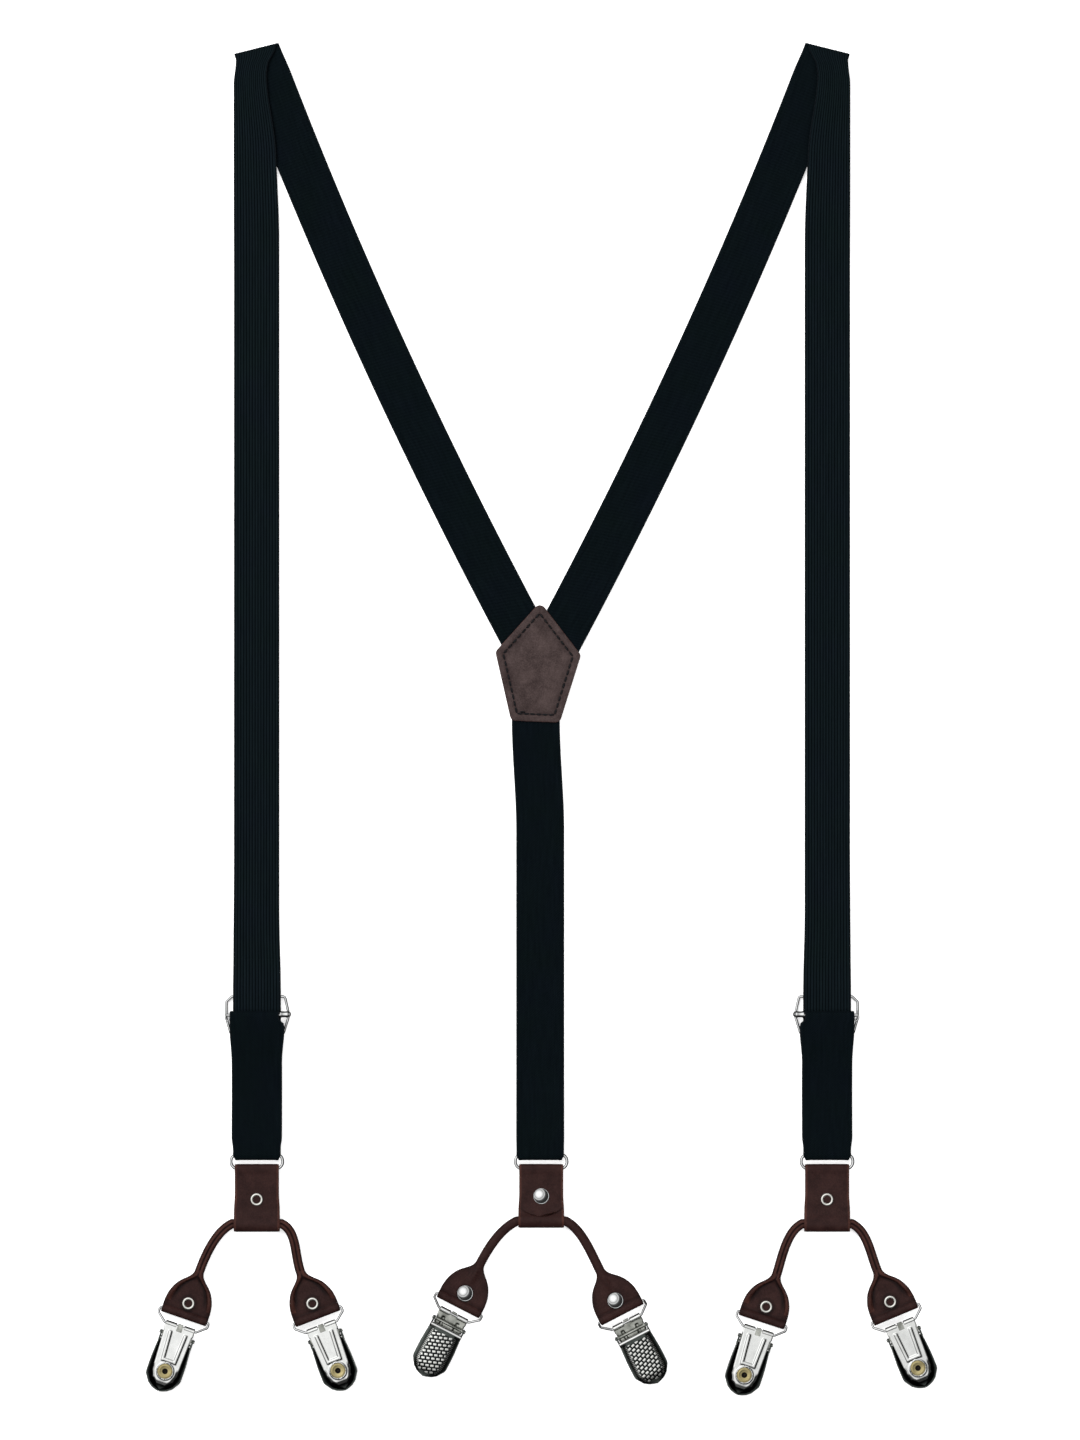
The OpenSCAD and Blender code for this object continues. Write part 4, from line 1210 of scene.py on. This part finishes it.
def make_cover(end, matrix):
    """Crowned cover that is also the lever: a shell with an embossed middle."""
    side = np.array(COVER_SIDE)[::-1]
    t = np.linspace(0, 1, 112)[:, None]
    t = t + 0.06 * np.sin(math.pi * t) * t
    y_out = -8.9 - (COVER_L - 8.9) * t / t.max()
    y_in = -8.9 - (COVER_L - 9.6) * t / t.max()
    w_out = np.interp(y_out[:, 0], side[:, 0], side[:, 1])[:, None]
    w_in = np.interp(y_in[:, 0] - 0.7, side[:, 0], side[:, 1])[:, None]
    w_in = np.maximum(w_in - 0.7 * ease(0.0, 2.0, w_in), 0.1)
    u = np.linspace(-1, 1, 85)[None]

    def crown(q, y, top):
        q = np.abs(q)
        z = top - 0.9 * q ** 2 - 1.35 * ease(0.60, 0.95, q)
        return z - 1.6 * ease(-27.5, -COVER_L, y) * (1 - 0.3 * q)

    x = u * w_out
    z = crown(u, y_out, 5.35)
    panel = ease(0.66, 0.60, np.abs(u)) * ease(-10.2, -10.8, y_out) * ease(-31.8, -31.0, y_out)
    strip_at = np.exp(-(((np.abs(u) - 0.72) / 0.045) ** 2)) * ease(-10, -11, y_out) * ease(-31, -30, y_out)
    relief = dashes(x, y_out)
    dots = ease(0.55, 0.2, np.abs((y_out / 0.9) % 1 - 0.5) * 2)
    z = z + 0.12 * panel * (relief - 0.7) + 0.10 * strip_at * dots
    # Painted shade and highlights: the panel's recesses are painted near-black, its raised dashes and the
    # dots along the strips near-white
    shade = 0.62 * (1 - panel) + panel * (0.06 + 0.9 * relief) + 0.3 * strip_at * dots
    v = np.linspace(1, -1, 23)[None]
    inner_z = np.minimum(crown(v, y_in, 5.35) - 0.75, 4.6)
    grid = np.concatenate([
        spread(-w_out, y_out, COVER_FOOT), spread(x, y_out, z), spread(w_out, y_out, COVER_FOOT),
        spread(w_in, y_in, COVER_FOOT), spread(v * w_in, y_in, inner_z), spread(-w_in, y_in, COVER_FOOT)], 1)
    # Painted highlight along the cover's edge walls, and painted shade on its underside
    edge = np.full((len(grid), 1), 0.7)
    dark = np.full((len(grid), 25), 0.25)
    relief = np.concatenate([edge, np.broadcast_to(shade, x.shape), edge, dark], 1)
    piece = Piece(matrix)
    piece.shell(grid, relief=relief)
    # Rolled upper edge, clamping rib and the arms to the pivot rod
    piece.shell(rod((-8.5, -8.3, 4.1), (8.5, -8.3, 4.1), 1.05, 24, 0.25), paint=1)
    # Painted shade: the clamping rib under the cover gets a low relief value
    rib = slab(rounded([(-6, -24), (-6, -22), (6, -22), (6, -24)], 0.4, 4), 1.6, 4.3)
    piece.shell(rib, relief=0.3)
    for way in (-1, 1):
        arm = rounded([(-4.0, 0.8), (-4.2, 2.9), (-8.6, 4.2), (-10.4, 3.0), (-9.6, 0.6)], 0.6, 5)
        piece.shell(cheek(arm, way * 8.25, 0.4, 0.12), relief=0.6)
    piece.ride(end + "_embossed_cover", end + "_cover", "gunmetal", (GUNMETAL, PLATE), end + "_clip_cover")


def make_grip(end, matrix):
    """Ribbed rubber pad that the cloth is clamped on."""
    y = np.linspace(-27.6, -18.6, 73)
    teeth = 0.45 * ease(0.2, 0.8, np.abs((y / 1.5) % 1 - 0.5) * 2)
    rows = []
    for place, tooth in zip(y, teeth):
        top = 0.55 + tooth
        outline = [(-5.4, -0.45), (-5.4, top - 0.2), (-5.1, top), (0, top + 0.05), (5.1, top),
                   (5.4, top - 0.2), (5.4, -0.45), (0, -0.45)]
        rows.append([(x, place, z) for x, z in outline])
    piece = Piece(matrix)
    piece.shell(rows)
    piece.ride(end + "_rubber_grip", end + "_clip", "grip_rubber", (RUBBER,), end + "_grip_pad", sharp=50)


def make_grip_rivet(end, matrix):
    """Brass disc rivet with a dished face and a tubular centre."""
    profile = [(0.05, 0.6), (1.9, 0.6), (1.9, -1.05), (3.35, -1.1), (3.5, -1.35), (3.35, -1.62),
               (3.0, -1.72), (2.5, -1.60), (2.0, -1.42), (1.65, -1.46), (1.4, -1.40), (1.3, -1.3),
               (1.25, -1.16), (0.05, -1.14)]
    piece = Piece(matrix @ Matrix.Translation((0, GRIP_Y, 0)))
    sides = 44
    paint = np.zeros((len(profile) - 1, sides), int)
    # Painted shade: the faces inside the tubular centre take the near-black hole material
    paint[-3:] = 1
    piece.shell(lathe(profile, sides), paint=paint)
    piece.ride(end + "_brass_rivet", end + "_clip", "brass", (BRASS, SHADOW), end + "_clip_rivet")


def make_clip(end, flip):
    matrix = placed(pivot(end + "_clip_swing"), slant(end + "_clip_swing"), flip)
    make_bail(end)
    make_plate(end, matrix)
    make_cover(end, matrix)
    make_grip(end, matrix)
    make_grip_rivet(end, matrix)


# ---------------------------------------------------------------- adjusters

def make_adjuster(name, sign):
    """Wire frame with a hinge bar: an open eye at one end, a barrel head at the other."""
    x, z = FOLD[0], BAR[2]
    piece = Piece(placed((x, HINGE_Y, 0)), mirror=sign < 0)
    plan = rounded([(-12.6, BAR_RISE), (-15.3, 6.6), (-15.4, -1.5), (-13.2, -9.4), (13.2, -9.4), (15.6, -1.5),
                    (15.7, 1.0), (13.9, BAR_RISE)], 1.2, 8, 6)
    piece.wire([(px, py, z) for px, py in plan], FRAME_R)
    piece.shell(rod((-15.2, 0, HINGE_Z), (16.2, 0, HINGE_Z), HINGE_R, 20, 0.2))
    # Upright wires from the frame to the hinge bar
    for way in (-1, 1):
        piece.shell(rod((way * 15.3, -0.4, z), (way * 15.0, 0.0, HINGE_Z + 0.4), 0.6, 16, 0.15, up=(0, 1, 0)))
    eye = [(-14.6 + 1.0 * math.cos(a), -1.2 + 1.5 * math.sin(a), HINGE_Z - 0.6)
           for a in np.radians(np.arange(0, 360, 12))]
    piece.wire(eye, 0.42, 12)
    barrel = [(0.05, 0), (1.4, 0), (1.72, 0.25), (1.75, 0.6), (1.55, 1.2), (1.5, 2.4), (1.6, 3.3),
              (1.72, 3.9), (1.6, 4.3), (1.3, 4.6), (1.35, 4.85), (1.0, 5.35), (0.5, 5.6), (0.05, 5.65)]
    turned = Matrix.Translation((11.5, 0.4, HINGE_Z + 0.2)) @ Matrix.Rotation(math.radians(90), 4, "Y")
    piece.shell(moved(lathe(barrel), turned))
    piece.ride(name + "_adjuster_wire", name + "_adjuster", "chrome", (CHROME,), name + "_adjuster_frame")

    piece = Piece(placed(BAR), mirror=sign < 0)
    piece.shell(rod((-10, 0, 0), (10, 0, 0), 1.15, 24, 0.15))
    plate = slab(rounded([(-11.5, -14.5), (-11.5, -0.7), (11.5, -0.7), (11.5, -14.5)], 1.2, 6), -0.5, 0.4)
    piece.shell(plate)
    for tooth in np.arange(-9, 9.1, 3):
        shape = [(tooth - 0.6, -3.6), (tooth - 0.6, -2.8), (tooth + 0.6, -2.8), (tooth + 0.6, -3.6)]
        piece.shell(slab(rounded(shape, 0.2, 3), 0.3, 0.95))
    piece.ride(name + "_toothed_lever", name + "_adjuster_lever", "lever_steel", (LEVER,),
               name + "_adjuster_lever")


# ---------------------------------------------------------------- studio

VIEW_HEIGHT = 0.720
VIEW_CENTRE = (-0.001, -0.030)
CAMERA_HEIGHT = 3.2


def make_camera():
    """Straight down, from far enough away to look flat."""
    data = bpy.data.cameras.new("camera")
    data.sensor_fit = "VERTICAL"
    data.sensor_height = 36
    data.lens = data.sensor_height * CAMERA_HEIGHT / VIEW_HEIGHT
    data.clip_end = 50
    camera = bpy.data.objects.new("camera", data)
    camera.location = (*VIEW_CENTRE, CAMERA_HEIGHT)
    bpy.context.scene.collection.objects.link(camera)
    bpy.context.scene.camera = camera


def make_backdrop(name, points, faces, glow):
    """A pale stage surface. Metal does not mirror it, so that wires keep dark outlines."""
    mesh = bpy.data.meshes.new(name)
    mesh.from_pydata(points, [], faces)
    surface = Surface("pale_" + name, Roughness=0.9, Specular_IOR_Level=0.0, Emission_Strength=glow,
                      Emission_Color=(1, 1, 1, 1))
    surface.colour(surface.ramp(surface.noise(3, 2), (0.3, (0.86, 0.86, 0.86)), (0.7, (0.88, 0.88, 0.88))))
    mesh.materials.append(surface.material)
    backdrop = bpy.data.objects.new(name, mesh)
    backdrop.location.z = -0.0002
    backdrop.visible_glossy = False
    bpy.context.scene.collection.objects.link(backdrop)
    return backdrop


def make_floor_and_walls():
    reach, height = 9.0, 7
    plan = [(-reach, -reach), (reach, -reach), (reach, reach), (-reach, reach)]
    floor = [(x, y, 0) for x, y in plan]
    make_backdrop("floor", floor, [(0, 1, 2, 3)], 0.6)
    ceiling = [(x, y, height) for x, y in plan]
    sides = [(i, (i + 1) % 4, (i + 1) % 4 + 4, i + 4) for i in range(4)]
    walls = make_backdrop("walls", floor + ceiling, sides, 0.95)
    # The walls are only seen: the light comes from the lamps and the sky
    walls.visible_diffuse = False
    walls.visible_shadow = False


def make_light(name, place, aim, size, power):
    data = bpy.data.lights.new(name, "AREA")
    data.shape = "RECTANGLE"
    data.size, data.size_y = size
    data.energy = power
    light = bpy.data.objects.new(name, data)
    light.location = place
    light.rotation_euler = (Vector(aim) - Vector(place)).to_track_quat("-Z", "Y").to_euler()
    # Thin wires would catch a lamp along their whole length, so metal mirrors only the room
    light.visible_glossy = False
    bpy.context.scene.collection.objects.link(light)


CEILING_TILT = (16, 20)


def make_world():
    """A dark room under a bright, slightly tilted ceiling, so that metal has dark outlines."""
    world = bpy.data.worlds.new("room")
    world.use_nodes = True
    bpy.context.scene.world = world
    nodes, links = world.node_tree.nodes, world.node_tree.links
    place = nodes.new("ShaderNodeTexCoord")
    split = nodes.new("ShaderNodeSeparateXYZ")
    ramp = nodes.new("ShaderNodeValToRGB")
    stops = [(0.0, 0.03), (0.35, 0.03), (0.56, 0.10), (0.68, 0.80), (0.76, 0.30), (0.87, 0.90), (1.0, 1.3)]
    fill_ramp(ramp, [(height, (grey, grey, grey)) for height, grey in stops])
    tilt = nodes.new("ShaderNodeMapping")
    tilt.inputs["Rotation"].default_value = (*np.radians(CEILING_TILT), 0)
    links.new(place.outputs["Generated"], tilt.inputs["Vector"])
    links.new(tilt.outputs["Vector"], split.inputs["Vector"])
    links.new(split.outputs["Z"], ramp.inputs["Fac"])
    links.new(ramp.outputs["Color"], nodes["Background"].inputs["Color"])


def main():
    make_camera()
    make_floor_and_walls()
    make_world()
    make_light("key", (-0.9, 0.9, 1.7), (0, 0, 0), (1.1, 1.1), 40)
    make_light("fill", (1.3, -0.5, 1.5), (0, 0, 0), (0.9, 1.4), 20)
    bpy.context.scene.view_settings.view_transform = "Standard"

    for name, sign in SIDES.items():
        make_diagonal(name, sign)
        make_fold(name, sign)
        make_front(name, sign)
        make_loop(name, sign)
        make_adjuster(name, sign)
    make_back_strap()
    make_patch()
    make_patch_stitching()
    for name, ends in GROUPS.items():
        flip = name != "back"
        make_ring(name)
        make_tab(name, flip)
        make_yoke(name, flip)
        for end in ends:
            make_clip(end, flip)


main()
